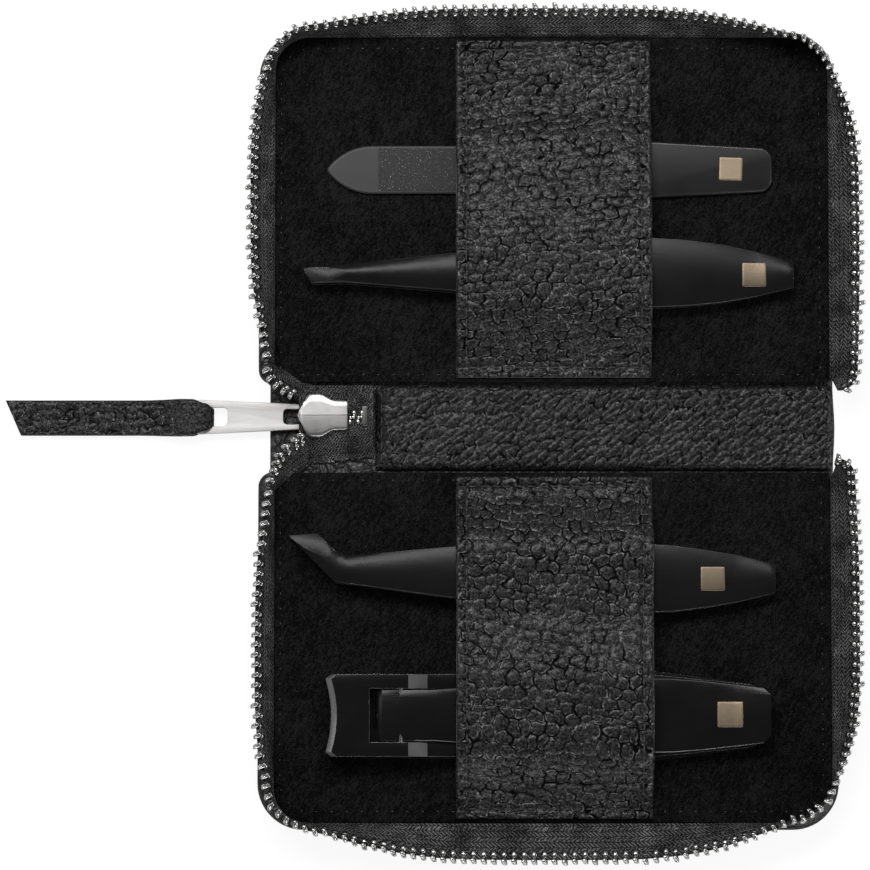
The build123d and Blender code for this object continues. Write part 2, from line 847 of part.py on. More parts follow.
def clipper_rivet():
    shank = Cylinder(rivet_radius, 2 * clipper_arm - 0.1, align=(Align.CENTER, Align.CENTER, Align.MIN))
    return Pos(rivet_x, clipper_y, tool_z + 0.05) * shank


# ---------------------------------------------------------------- zip end on the spine


def zip_end_tape():
    """Tape arched over the spine: its edges are sewn down, its middle runs through the slider."""
    half, t = end_tape_thickness / 2, end_tape_thickness
    z = chain_z - half
    under = (
        (end_tape_low, cover_thickness),
        (end_tape_low + 1.5, cover_thickness),
        (chain_y - end_tape_flat, z),
        (chain_y + end_tape_flat, z),
        (end_tape_high - t - 0.1, cover_thickness),
        (end_tape_high, cover_thickness),
    )
    face = make_face(Polyline(*under, *reversed(beside(under, t)), close=True))
    solid = extrude(Plane.YZ.offset(-end_tape_left) * face, amount=end_tape_left - end_tape_right)
    notch_end = -end_tape_left + end_tape_notch
    wedge = (
        (-end_tape_left - 1, chain_y - end_tape_notch_width / 2),
        (-end_tape_left + end_tape_notch_straight, chain_y - end_tape_notch_width / 2),
        (notch_end, chain_y),
        (-end_tape_left + end_tape_notch_straight, chain_y + end_tape_notch_width / 2),
        (-end_tape_left - 1, chain_y + end_tape_notch_width / 2),
    )
    return solid - plate(make_face(Polyline(*wedge, close=True)), z - 1, 3)


def zip_end_teeth():
    """Closed chain behind the slider: teeth from both sides, half a pitch apart."""
    teeth = []
    left = -slider_nose + slider_shoulder + slider_shoulder_length + slider_waist
    x = -chain_right - tooth_pitch / 2
    side = 1
    while x > left:
        y = sorted((chain_y - side * chain_overlap, chain_y + side * chain_half_width))
        z = (chain_z - chain_height / 2, chain_z + chain_height / 2)
        teeth.append(box((x - chain_tooth / 2, x + chain_tooth / 2), y, z))
        x -= tooth_pitch / 2
        side = -side
    return Compound(children=[tooth.solid() for tooth in teeth])


def zip_bottom_stop():
    """Clip pressed round both tapes at the end of the chain."""
    x = (-chain_right - 0.1, -chain_right + stop_width)
    y = (chain_y - chain_half_width, chain_y + chain_half_width)
    solid = box(x, y, (chain_z - chain_height / 2, chain_z + chain_height / 2))
    return fillet(solid.edges().filter_by(Axis.X), 0.5)


def slider_outline(grow=0.0):
    wide, tail = slider_width / 2, slider_tail_width / 2
    x0 = -slider_nose
    x1 = x0 + slider_shoulder
    x2 = x1 + slider_shoulder_length
    x3 = x2 + slider_waist
    x4 = x0 + slider_length
    half = ((x1, wide), (x2, wide), (x3, tail), (x4, tail))
    points = [(x0 - grow, 0), *half, *((a, -b) for a, b in reversed(half))]
    radii = (1.2, 1.4, 1.6, 2.2, 0.7, 0.7, 2.2, 1.6, 1.4)
    return Pos(0, chain_y, 0) * outline(points, radii)


def slider_levels():
    """Undersides of the front plate, the channel and the back plate."""
    channel = chain_z - slider_channel / 2
    return channel - slider_plate, channel, channel + slider_channel


def slider_roof(z):
    """Top plate, creased along its middle and sloping to both edges."""
    wide, ridge = slider_width / 2, slider_edge + slider_crown
    points = ((-wide, 0), (wide, 0), (wide, slider_edge), (0, ridge), (-wide, slider_edge))
    section = Pos(chain_y, z) * make_face(Polyline(*points, close=True))
    return extrude(Plane.YZ * section, amount=90, both=True) & plate(slider_outline(), z, ridge)


def zip_slider():
    front, channel, back = slider_levels()
    body = plate(slider_outline(slider_bottom_reach), front, slider_plate)
    body += slider_roof(back)
    x0 = -slider_nose
    post = ((x0 + 0.3, 0), (x0 + 1.5, 1.0), (x0 + 3.9, 0), (x0 + 1.5, -1.0))
    wedge = Pos(0, chain_y, 0) * outline(post, (0.3, 0.4, 0.3, 0.4))
    body += plate(wedge, channel, slider_channel)
    rim = slider_outline() - offset(slider_outline(), amount=-slider_flange)
    flange = plate(rim, channel, slider_channel)
    start = x0 + slider_shoulder + slider_shoulder_length + 0.4
    flange &= box((start, -20), (-20, 20), (0, 20))
    tail = -slider_nose + slider_length
    inner = slider_tail_width / 2 - slider_flange
    flange -= box((tail - 1.5, tail + 1), (chain_y - inner, chain_y + inner), (0, 20))
    slot = (chain_z - slider_slot / 2, chain_z + slider_slot / 2)
    flange -= box((start - 1, tail + 1), (-20, 20), slot)
    return body + flange + slider_bridge(front)


def slider_bridge(front):
    """Bridge below the front plate, which carries the puller."""
    x0 = -slider_nose
    y = (chain_y - bridge_width / 2, chain_y + bridge_width / 2)
    low = front - bridge_gap - bridge_bar
    arch = box((x0, x0 + bridge_length), y, (low, front))
    arch -= box((x0 + bridge_leg, x0 + bridge_length - bridge_leg), y, (low + bridge_bar, front))
    return arch


def puller_axis():
    """Centre of the puller's end bar, which turns inside the slider's bridge."""
    front, _, _ = slider_levels()
    x = -slider_nose + bridge_leg + 0.1 + puller_bar / 2
    return Vector(x, chain_y, front - bridge_gap / 2)


def zip_puller():
    axis = puller_axis()
    right = axis.X + puller_bar / 2
    narrow, wide = puller_width / 2, puller_end_width / 2
    points = ((right, -narrow), (right, narrow), (-puller_left, wide), (-puller_left, -wide))
    face = outline(points, (1.0, 1.0, 1.6, 1.6))
    eye_x = right - puller_bar
    eye = ((eye_x - puller_eye, -0.5), (eye_x, -0.5), (eye_x, 0.5), (eye_x - puller_eye, 0.5))
    face -= outline([(a, b * puller_eye_width) for a, b in eye], (0.8,) * 4)
    slot_x = -puller_left + puller_end_bar
    slot = ((slot_x, -0.5), (-puller_slot_right, -0.5), (-puller_slot_right, 0.5), (slot_x, 0.5))
    face -= outline([(a, b * puller_slot_width) for a, b in slot], (1.0,) * 4)
    solid = plate(Pos(0, chain_y, 0) * face, axis.Z - puller_thickness / 2, puller_thickness)
    return solid.rotate(Axis(axis, (0, 1, 0)), -puller_tilt)


def tab_axis():
    """Middle of the puller's far bar, which the leather tab is looped round."""
    axis = puller_axis()
    arm = axis.X + puller_left - puller_end_bar / 2
    turn = puller_tilt * pi / 180
    return Vector(axis.X - arm * cos(turn), chain_y, axis.Z - arm * sin(turn))


def puller_tab():
    """Two layers of leather, folded through the puller's slot and lying on the table."""
    axis = tab_axis()
    t = tab_leather
    cavity_half = puller_thickness / 2 + tab_loop_play
    right = axis.X + puller_end_bar / 2 + tab_loop_play
    left = axis.X - puller_end_bar / 2 - tab_loop_play
    high, low = axis.Z + cavity_half, axis.Z - cavity_half
    flat_x = left - 6.0
    side = (
        (right + tab_neck, low - t),
        (right + tab_neck, high + t),
        (left - 1.0, high + t),
        (flat_x, tab_floor + 2 * t),
        (-tab_left, tab_floor + 2 * t),
        (-tab_left, tab_floor),
        (left, tab_floor),
    )
    face = outline(side, (1.2, 1.2, 3.0, 4.0, 0.4, 0.4, 0))
    cavity = ((right, low), (right, high), (left, high), (left, low))
    face -= outline(cavity, (0.3,) * 4)
    half = tab_width / 2
    solid = extrude(Plane.XZ * face, amount=60, both=True)
    plan = ((-tab_left, half), (-tab_left + tab_slant, -half), (0, -half), (0, half))
    solid &= plate(Pos(0, chain_y - 0.1, 0) * outline(plan, (0.8, 0.8, 0, 0)), -1, 30)
    for side_sign in (-1, 1):
        y = sorted((chain_y + side_sign * tab_neck_width / 2, chain_y + side_sign * 20))
        solid -= box((right - 0.2, right + 10), y, (low, high))
    return solid


# ---------------------------------------------------------------- the whole case

save("spine_cover", spine_cover())
save("spine_lining", spine_lining())
for half_name, side, flares in (("upper", 1, upper_flare), ("lower", -1, lower_flare)):
    save(f"{half_name}_cover", on_half(panel_cover(), side))
    save(f"{half_name}_board", on_half(panel_board(), side))
    save(f"{half_name}_lining", on_half(panel_lining(), side))
    save(f"{half_name}_zip_tape", on_half(zip_tape(flares), side))
    save(f"{half_name}_zip_teeth", on_half(zip_teeth(flares), side))
save("upper_strap", upper_strap())
save("lower_strap", on_half(lower_strap(), -1))
save("zip_end_tape", zip_end_tape())
save("zip_end_teeth", zip_end_teeth())
save("zip_bottom_stop", zip_bottom_stop())
save("zip_slider", zip_slider())
save("zip_puller", zip_puller())
save("puller_tab", puller_tab())
save("file_blade", file_blade())
save("file_grit", file_grit())
for arm_name, way in (("lower_arm", -1), ("upper_arm", 1)):
    save(f"slant_tweezers_{arm_name}", slant_arm(way))
    save(f"angled_tweezers_{arm_name}", angled_arm(way))
save("clipper_lower_arm", clipper_lower_arm())
save("clipper_upper_arm", clipper_upper_arm())
save("clipper_lever", clipper_lever())
save("clipper_axle", axle_cylinder(axle_radius, axle_reach))
save("clipper_post", clipper_post())
save("clipper_rivet", clipper_rivet())
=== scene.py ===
import json
from math import cos, hypot, pi, radians, sin, sqrt

import bmesh
import bpy
import numpy as np
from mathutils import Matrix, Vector, bvhtree, noise

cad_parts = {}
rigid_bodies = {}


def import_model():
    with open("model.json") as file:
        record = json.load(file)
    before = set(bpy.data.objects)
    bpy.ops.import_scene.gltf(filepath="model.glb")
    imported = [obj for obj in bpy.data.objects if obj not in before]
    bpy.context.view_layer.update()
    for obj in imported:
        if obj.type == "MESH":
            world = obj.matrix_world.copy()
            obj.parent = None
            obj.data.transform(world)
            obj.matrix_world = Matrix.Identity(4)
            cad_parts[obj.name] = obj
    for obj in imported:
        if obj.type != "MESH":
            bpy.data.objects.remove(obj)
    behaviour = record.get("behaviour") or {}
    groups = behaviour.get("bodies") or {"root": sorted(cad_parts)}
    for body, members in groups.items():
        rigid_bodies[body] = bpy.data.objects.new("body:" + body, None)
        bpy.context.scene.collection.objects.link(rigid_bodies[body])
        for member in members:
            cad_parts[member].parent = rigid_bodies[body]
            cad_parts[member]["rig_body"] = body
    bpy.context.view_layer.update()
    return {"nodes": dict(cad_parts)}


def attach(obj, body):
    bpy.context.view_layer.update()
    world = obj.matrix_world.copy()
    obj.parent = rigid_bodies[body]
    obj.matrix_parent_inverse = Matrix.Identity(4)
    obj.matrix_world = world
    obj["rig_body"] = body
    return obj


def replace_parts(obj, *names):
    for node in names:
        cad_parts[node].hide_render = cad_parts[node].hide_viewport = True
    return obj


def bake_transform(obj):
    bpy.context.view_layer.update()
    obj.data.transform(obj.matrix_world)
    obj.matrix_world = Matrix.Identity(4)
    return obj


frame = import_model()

MM = 0.001

# ---------------------------------------------------------------- camera, lamps and floor
# A long lens almost straight above the open case, leaning a little to the south side.
# A large softbox hangs just north of it, weaker ones stand lower at its other three sides,
# and the table and the room are plain white.

camera_lean = radians(5)
camera_lens = 200
camera_film = 36
camera_sight = 10  # metres
view_width = 168.9
view_middle = Vector((-22.3, -1.6, 4.0))
floor_reach = 2500
floor_drop = 0.05


def put(name, data):
    """Object of some data in the scene."""
    made = bpy.data.objects.new(name, data)
    bpy.context.scene.collection.objects.link(made)
    return made


camera = put("camera", bpy.data.cameras.new("camera"))
camera.data.lens = camera_lens
camera.data.sensor_width = camera_film
camera.data.clip_end = camera_sight
camera_way = Vector((0, -sin(camera_lean), cos(camera_lean)))
camera.location = (view_middle + camera_way * view_width * camera_lens / camera_film) * MM
camera.rotation_euler = (camera_lean, 0, 0)
bpy.context.scene.camera = camera


def softbox(name, place, target, size, power):
    """Rectangular lamp of a size and a place in millimetres, turned towards a target."""
    lamp = put(name, bpy.data.lights.new(name, "AREA"))
    lamp.data.shape = "RECTANGLE"
    lamp.data.size, lamp.data.size_y = size[0] * MM, size[1] * MM
    lamp.data.energy = power
    lamp.location = Vector(place) * MM
    lamp.rotation_euler = (Vector(target) - Vector(place)).to_track_quat("-Z", "Y").to_euler()


softbox("south_softbox", (80, -620, 160), (0, -10, 0), (520, 110), 2.0)
softbox("north_softbox", (-100, 300, 620), (0, 10, 0), (520, 170), 5.6)
softbox("left_softbox", (-620, 60, 380), (-20, 0, 0), (120, 360), 0.4)
softbox("right_softbox", (620, -40, 200), (20, 0, 0), (120, 320), 1.3)


class Value:
    """A node's output in a material, with Python's operators for its maths."""

    def __init__(self, shade, socket):
        self.shade, self.socket = shade, socket

    def math(self, operation, *others):
        return self.shade.node("ShaderNodeMath", dict(enumerate((self, *others))), operation=operation)

    def __add__(self, other):
        return self.math("ADD", other)

    def __sub__(self, other):
        return self.math("SUBTRACT", other)

    def __rsub__(self, other):
        return (self * -1).math("ADD", other)

    def __mul__(self, other):
        return self.math("MULTIPLY", other)

    def __truediv__(self, other):
        return self.math("DIVIDE", other)

    def __pow__(self, other):
        return self.math("POWER", other)

    __radd__ = __add__
    __rmul__ = __mul__

    def clamp(self):
        return self.shade.node("ShaderNodeClamp", {0: self})


class Shade:
    """A material that is built up node by node."""

    def __init__(self, name, tree=None):
        if tree is None:
            self.material = bpy.data.materials.new(name)
            self.material.use_nodes = True
            tree = self.material.node_tree
        self.tree = tree
        self.tree.nodes.clear()

    def node(self, kind, inputs=None, output=0, **settings):
        """Adds a node with its settings, then the values or links of its sockets."""
        made = self.tree.nodes.new(kind)
        for key, value in settings.items():
            setattr(made, key, value)
        for key, value in (inputs or {}).items():
            if isinstance(value, Value):
                self.tree.links.new(value.socket, made.inputs[key])
            else:
                made.inputs[key].default_value = value
        return Value(self, made.outputs[output])

    def place(self, stretch=(1, 1, 1), turn=0.0, kind="Object"):
        """Coordinates on the object in millimetres, or its UV map's, turned about Z and stretched."""
        scale = (1, 1, 1) if kind == "UV" else (1 / MM,) * 3
        where = self.vector("MULTIPLY", self.node("ShaderNodeTexCoord", output=kind), scale)
        if turn:
            where = self.node("ShaderNodeVectorRotate", {"Vector": where, "Angle": turn})
        return self.vector("MULTIPLY", where, stretch)

    def vector(self, operation, first, second):
        return self.node("ShaderNodeVectorMath", {0: first, 1: second}, operation=operation)

    def part(self, where, axis=0):
        """One of a vector's three values."""
        return self.node("ShaderNodeSeparateXYZ", {0: where}, axis)

    def noise(self, where, size, detail=2.0, roughness=0.5):
        """Cloudy noise from 0 to 1 whose patches are about size millimetres."""
        inputs = {"Vector": where, "Scale": 1 / size, "Detail": detail, "Roughness": roughness}
        return self.node("ShaderNodeTexNoise", inputs)

    def mix(self, share, first, second):
        """Colour between two others."""
        return self.node("ShaderNodeMix", {0: share, 6: first, 7: second}, 2, data_type="RGBA")

    def surface(self, height, **sockets):
        """Ends the material: one shader, whose bump takes a height in millimetres."""
        sockets["Normal"] = self.bump(height)
        self.end(self.node("ShaderNodeBsdfPrincipled", sockets))
        return self.material

    def bump(self, height):
        return self.node("ShaderNodeBump", {"Height": height, "Distance": MM})

    def end(self, shader, kind="ShaderNodeOutputMaterial"):
        self.tree.links.new(shader.socket, self.tree.nodes.new(kind).inputs["Surface"])


def grey(level, warmth=0.0):
    """Colour of a grey, a little warm or cool."""
    return (level * (1 + warmth), level, level * (1 - warmth), 1.0)


world = bpy.data.worlds.new("white_room")
bpy.context.scene.world = world
world.use_nodes = True
room = Shade("white_room", world.node_tree)
seen, mirrored, through = (
    room.node("ShaderNodeLightPath", output=f"Is {ray} Ray") for ray in ("Camera", "Glossy", "Transmission")
)
overhead = (room.part(room.node("ShaderNodeTexCoord", output="Generated"), 2) * 3.0 - 0.5).clamp()
# the room is white to the eye, mirrored darker from overhead, and lights the case only weakly
room_mirrored = mirrored * (0.9 - overhead * 0.68)
room_light = (1 - seen) * (1 - mirrored) * 0.4
strength = (seen + room_mirrored + through).clamp() + room_light
glow = room.node("ShaderNodeBackground", {"Color": grey(1.0), "Strength": strength})
room.end(glow, "ShaderNodeOutputWorld")


def mesh_piece(name, corners, faces, material, uvs=None):
    """Smooth mesh from corners in millimetres."""
    mesh = bpy.data.meshes.new(name)
    mesh.from_pydata([[value * MM for value in corner] for corner in corners], [], faces)
    mesh.materials.append(material)
    if uvs is not None:
        layer = mesh.uv_layers.new(name="UVMap")
        for loop in mesh.loops:
            layer.data[loop.index].uv = uvs[loop.vertex_index]
    mesh.polygons.foreach_set("use_smooth", [True] * len(mesh.polygons))
    mesh.update()
    return put(name, mesh)


table = Shade("white_table")
table_light = table.node("ShaderNodeBsdfDiffuse", {"Color": grey(0.86)})
table_glow = table.node("ShaderNodeEmission", {"Color": grey(1.0), "Strength": 1.0})
glow_share = table.node("ShaderNodeLightPath", output="Is Camera Ray") * 0.9
table.end(table.node("ShaderNodeMixShader", {0: glow_share, 1: table_light, 2: table_glow}))
floor_corners = [
    (x * floor_reach, y * floor_reach, -floor_drop) for x, y in ((-1, -1), (1, -1), (1, 1), (-1, 1))
]
floor = mesh_piece("floor", floor_corners, [(0, 1, 2, 3)], table.material)

# ---------------------------------------------------------------- leather cover
# The outside of the case: pebbled black cowhide, one skin over both panels and the spine.
# The real skin bends at the two folds beside the spine; here it lies flat there, with its rows close
# together, and its edges are turned and inked.

cover_left, cover_right = -56.7, 55.9
spine_left, spine_right = -54.4, 55.2
fold_y, cover_y = 8.5, 78.0
cover_corner = 9.0
cover_inner_corner = 3.0
cover_thick = 1.2
cover_edge = 0.45
cover_bulge = 0.35  # of the spine's right end
cover_chamfer = 0.18
cover_pebble, cover_pebble_depth = 2.4, 0.3


def pebbles_between(shade, where, cells):
    """Share that rises from 0 in the creases between pebbles, of which there are so many a millimetre."""
    return shade.node("ShaderNodeTexVoronoi", {"Vector": where, "Scale": cells}, feature="DISTANCE_TO_EDGE")


def pebbled_cover():
    """Pebbled black leather: shiny pebbles, rougher creases with painted shade, and a fine wrinkled grain."""
    shade = Shade("pebbled_cover_leather")
    where = shade.place()
    bend = shade.node("ShaderNodeTexNoise", {"Vector": where, "Scale": 0.55 / cover_pebble, "Detail": 2.0}, 1)
    where = shade.vector("ADD", where, shade.vector("MULTIPLY", bend, (cover_pebble * 1.5,) * 3))
    top = (pebbles_between(shade, where, 1 / cover_pebble) * 4.5).clamp() ** 0.6
    fine = (pebbles_between(shade, where, 2.3 / cover_pebble) * 5.0).clamp() ** 0.7
    plain = shade.place()
    grain = shade.noise(plain, 0.42, 3.0, 0.65)
    patches = shade.noise(plain, 9.0, 2.0)
    # painted shade: the colour is multiplied by the pebble height, so the creases are darker; grain and
    # patches vary the tone at random
    tone = (top * ((grain - 0.5) * 2 + (patches - 0.5) + 0.5)).clamp()
    return shade.surface(
        height=(top * 0.75 + fine * 0.25) * cover_pebble_depth + grain * 0.035,
        **{
            "Base Color": shade.mix(tone, grey(0.001), grey(0.028)),
            "Roughness": 0.56 - top * 0.14 + (grain - 0.5) * 0.3 - (patches - 0.5) * 0.1,
            "Specular IOR Level": 0.3,
        },
    )


cover_leather = pebbled_cover()


def cover_side(y):
    """Left and right end of the skin at y, with the panels' round corners."""
    if y <= fold_y:
        return spine_left, spine_right + cover_bulge * cos(y / fold_y * pi / 2) ** 2
    left, right = cover_left, cover_right
    if y < fold_y + cover_inner_corner:
        gap = cover_inner_corner - sqrt(cover_inner_corner**2 - (fold_y + cover_inner_corner - y) ** 2)
        left, right = min(left + gap, spine_left), max(right - gap, spine_right)
    if y > cover_y - cover_corner:
        gap = cover_corner - sqrt(max(cover_corner**2 - (y - cover_y + cover_corner) ** 2, 0))
        left, right = left + gap, right - gap
    return left, right


def ring_faces(rings, count, first=0):
    """Faces that join closed rings of corners, one ring after another."""
    faces = []
    for r in range(rings - 1):
        for k in range(count):
            a, b = first + r * count + k, first + r * count + (k + 1) % count
            faces.append((a, b, b + count, a + count))
    return faces


def cover_skin(name, side):
    """Skin over one panel and half of the spine, in closed rings that follow each other along y."""
    # the rows lie close together over the fold and round the far corners
    rows = [0.0, 3.0, 5.0] + [5.5 + 0.4 * k for k in range(15)] + [12.5, 20, 35, 50, 65]
    rows += [cover_y - cover_corner + cover_corner * sin(k / 14 * pi / 2) for k in range(15)]
    across, corners = 36, []
    for y in rows:
        left, right = cover_side(y)
        shrink = max(0.0, 1 - (cover_y - y) / cover_edge)
        lift = cover_thick / 2 * (1 - sqrt(max(1 - shrink**2, 0.0))) * 0.9
        low, high = lift, cover_thick - lift
        top = [left + (right - left) * k / across for k in range(across + 1)]
        top[0], top[-1] = left + cover_edge, right - cover_edge
        middle, near_high, near_low = (low + high) / 2, high - cover_chamfer, low + cover_chamfer
        ring = [(x, high) for x in top]
        ring += [(right - 0.1, near_high), (right, middle), (right - 0.1, near_low)]
        ring += [(x, low) for x in reversed(top)]
        ring += [(left + 0.1, near_low), (left, middle), (left + 0.1, near_high)]
        corners += [(x, side * y, z) for x, z in ring]
    end = tuple(range(len(corners) - len(ring), len(corners)))
    faces = ring_faces(len(rows), len(ring)) + [end]
    return mesh_piece(name, corners, [face if side > 0 else face[::-1] for face in faces], cover_leather)


for side, half in ((-1, "lower"), (1, "upper")):
    skin = cover_skin(f"{half}_cover_leather", side)
    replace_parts(skin, f"{half}_cover", "spine_cover")
    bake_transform(skin)

# ---------------------------------------------------------------- panel boards
# Grey card between the cover and the lining, which keeps each panel flat.
# It is glued in, and shows only when the case is cut open.


def card():
    """Pressed grey card with short fibres."""
    shade = Shade("grey_card")
    fibres = shade.noise(shade.place((1, 0.25, 1)), 0.6, 3.0)
    return shade.surface(
        height=fibres * 0.05, **{"Base Color": shade.mix(fibres, grey(0.12), grey(0.2)), "Roughness": 0.95}
    )


def dress(name, material):
    """Gives a CAD node its material."""
    mesh = frame["nodes"][name].data
    mesh.materials.clear()
    mesh.materials.append(material)


grey_card = card()
for half in ("lower", "upper"):
    dress(f"{half}_board", grey_card)

# ---------------------------------------------------------------- suede lining
# Near-black suede glued over each board, with a line of lockstitch just inside its edge.
# Its nap lies in soft patches, where it has been brushed one way or the other.

lining_top = 2.8
lining_round = 0.25
seam_left, seam_right = -52.3, 52.7
seam_start_y, seam_end_y = 10.3, 74.6
seam_corner = 6.0
lining_seam = {"thick": 0.09, "rise": -0.058}  # drawn down into the nap, under the tools
round_from, shade_from = radians(28), radians(32)
weld_reach, flat_angle = 0.002, radians(0.6)
never = 2  # a lean that no face has


def softened(name, made_name, radius, material, segments=2, edge=None, steep=(never,) * 3):
    """Copy of a CAD node with its sharp edges rounded; it rides where the node does.

    The rounds take the edge material where there is one, a lighter, shinier steel that paints highlights on
    them.
    So do upper faces that lean more than steep says: to the left, to the right, and to either side.
    """
    work = bmesh.new()
    work.from_mesh(frame["nodes"][name].data)
    bmesh.ops.remove_doubles(work, verts=work.verts, dist=weld_reach * MM)
    bmesh.ops.dissolve_limit(work, angle_limit=flat_angle, verts=work.verts, edges=work.edges)
    sharp = [e for e in work.edges if len(e.link_faces) == 2 and e.calc_face_angle(0) > round_from]
    bmesh.ops.bevel(
        work, geom=sharp, offset=radius * MM, offset_type="OFFSET", segments=segments,
        profile=0.5, affect="EDGES", clamp_overlap=True, material=1 if edge else -1,
    )
    for face in work.faces:
        face.smooth = True
        leans = (-face.normal.x, face.normal.x, abs(face.normal.y))
        # upper faces that lean more than steep allows take the edge material too, for painted highlights on
        # them
        if face.normal.z > 0.25 and any(lean > most for lean, most in zip(leans, steep)):
            face.material_index = 1
    mesh = bpy.data.meshes.new(made_name)
    work.to_mesh(mesh)
    work.free()
    mesh.set_sharp_from_angle(angle=shade_from)
    for finish in (material, edge):
        if finish:
            mesh.materials.append(finish)
    made = put(made_name, mesh)
    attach(made, frame["nodes"][name]["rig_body"])
    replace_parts(made, name)
    return made


def suede():
    """Near-black suede, whose nap and lint catch the light in specks."""
    shade = Shade("black_suede")
    where = shade.place()
    nap = shade.noise(where, 0.22, 4.0, 0.7)
    lint = shade.noise(shade.place((1, 0.4, 1), 0.5), 0.5, 3.0, 0.7)
    patches = shade.noise(where, 7.0, 3.0, 0.55)
    tone = ((nap - 0.5) * 5.0 + (lint - 0.5) * 3.0 + (patches - 0.5) * 1.2 + 0.36).clamp()
    return shade.surface(
        height=nap * 0.22 + patches * 0.1,
        **{
            "Base Color": shade.mix(tone, grey(0.0006), grey(0.0105)),
            "Roughness": 0.95, "Specular IOR Level": 0.06,
        },
    )


def thread_material(name, level):
    """Plied polyester thread."""
    shade = Shade(name)
    ply = shade.noise(shade.place(), 0.12, 2.0)
    return shade.surface(
        height=ply * 0.05,
        **{"Base Color": shade.mix(ply, grey(level * 0.5), grey(level * 1.5)), "Roughness": 0.55},
    )


def running_lengths(points):
    """Distance of each point along the line through them all."""
    lengths = [0.0]
    for a, b in zip(points, points[1:]):
        lengths.append(lengths[-1] + (b - a).length)
    return lengths


def stitches(name, line, body, material, pitch=2.9, gap=0.75, thick=0.13, sink=0.16, rise=0.07):
    """Lockstitches along a line of points: each rises from one needle hole and dips into the next."""
    line = [Vector(point) for point in line]
    lengths = running_lengths(line)
    nearly = 1e-9

    def at(distance):
        distance = min(max(distance, 0), lengths[-1])
        for k in range(len(line) - 1):
            if distance <= lengths[k + 1] + nearly:
                share = (distance - lengths[k]) / max(lengths[k + 1] - lengths[k], nearly)
                return line[k].lerp(line[k + 1], share)

    corners, faces, rings, sides = [], [], 7, 6
    count = max(int(lengths[-1] / pitch), 1)
    step = lengths[-1] / count
    for n in range(count):
        stray = noise.noise(Vector((n * 1.7, lengths[-1], 0.3))) * 0.16
        start, end = n * step + gap / 2, (n + 1) * step - gap / 2
        first = len(corners)
        for r in range(rings):
            share = r / (rings - 1)
            gone = start + (end - start) * share
            ahead = (at(gone + 0.2) - at(gone - 0.2)).normalized()
            across = ahead.cross(Vector((0, 0, 1))).normalized()
            up = across.cross(ahead)
            arch = sin(share * pi) ** 0.5
            middle = at(gone) + up * (-sink + (sink + rise) * arch) + across * stray * (share - 0.5)
            for k in range(sides):
                turn = 2 * pi * k / sides
                round_off = (across * cos(turn) + up * sin(turn) * 0.8) * (thick * (0.45 + 0.55 * arch))
                corners.append(middle + round_off)
        faces += [(a, d, c, b) for a, b, c, d in ring_faces(rings, sides, first)]
        faces.append(tuple(first + k for k in range(sides)))
        faces.append(tuple(first + (rings - 1) * sides + k for k in reversed(range(sides))))
    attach(mesh_piece(name, corners, faces, material), body)


def seam_frame():
    """Line of the lining's seam: up one side, round the two far corners and down the other."""
    turn_y = seam_end_y - seam_corner
    line = [(seam_left, seam_start_y), (seam_left, turn_y)]
    for middle, sign in ((seam_left + seam_corner, -1), (seam_right - seam_corner, 1)):
        for k in range(1, 8):
            turn = k / 8 * pi / 2
            out, far = (cos(turn), sin(turn)) if sign < 0 else (sin(turn), cos(turn))
            line.append((middle + sign * seam_corner * out, turn_y + seam_corner * far))
    return line + [(seam_right, turn_y), (seam_right, seam_start_y)]


black_suede = suede()
grey_thread = thread_material("grey_lining_thread", 0.035)
dark_thread = thread_material("dark_lining_thread", 0.02)
for half, side in (("lower", -1), ("upper", 1)):
    softened(f"{half}_lining", f"{half}_suede_lining", lining_round, black_suede)
    for seam, line, thread in (
        ("lining_seam", seam_frame(), grey_thread),
        ("lining_fold_seam", [(seam_left, seam_start_y), (seam_right, seam_start_y)], dark_thread),
    ):
        path = [(x, side * y, lining_top) for x, y in line]
        stitches(f"{half}_{seam}", path, f"{half}_half", thread, **lining_seam)

# ---------------------------------------------------------------- spine facing
# Softer grained leather glued over the spine between the folds, whose wrinkles run slantwise.
# Its left end is stitched down over the end of the zip.

facing_left, facing_right = -34.0, 54.9
facing_y = 8.45
facing_low, facing_top = 1.1, 2.8
facing_relief, facing_wave = 0.32, 0.12
facing_side_roll, facing_left_roll, facing_right_roll = 1.6, 3.4, 1.2
facing_seam_x, facing_seam_y = facing_left + 1.3, facing_y - 1.2
hide_repeat = 64  # cells after which a hide's pattern comes round again


def cloud(a, b, seed):
    """Smooth random values from -1 to 1 over a plane, about one patch a unit."""
    levels = np.random.default_rng(seed).random((hide_repeat, hide_repeat)) * 2 - 1
    i, j = np.floor(a).astype(int), np.floor(b).astype(int)
    u, v = a - i, b - j
    u, v = u * u * (3 - 2 * u), v * v * (3 - 2 * v)
    left, right = i % hide_repeat, (i + 1) % hide_repeat
    near, far = j % hide_repeat, (j + 1) % hide_repeat
    low = levels[left, near] * (1 - u) + levels[right, near] * u
    high = levels[left, far] * (1 - u) + levels[right, far] * u
    return low * (1 - v) + high * v


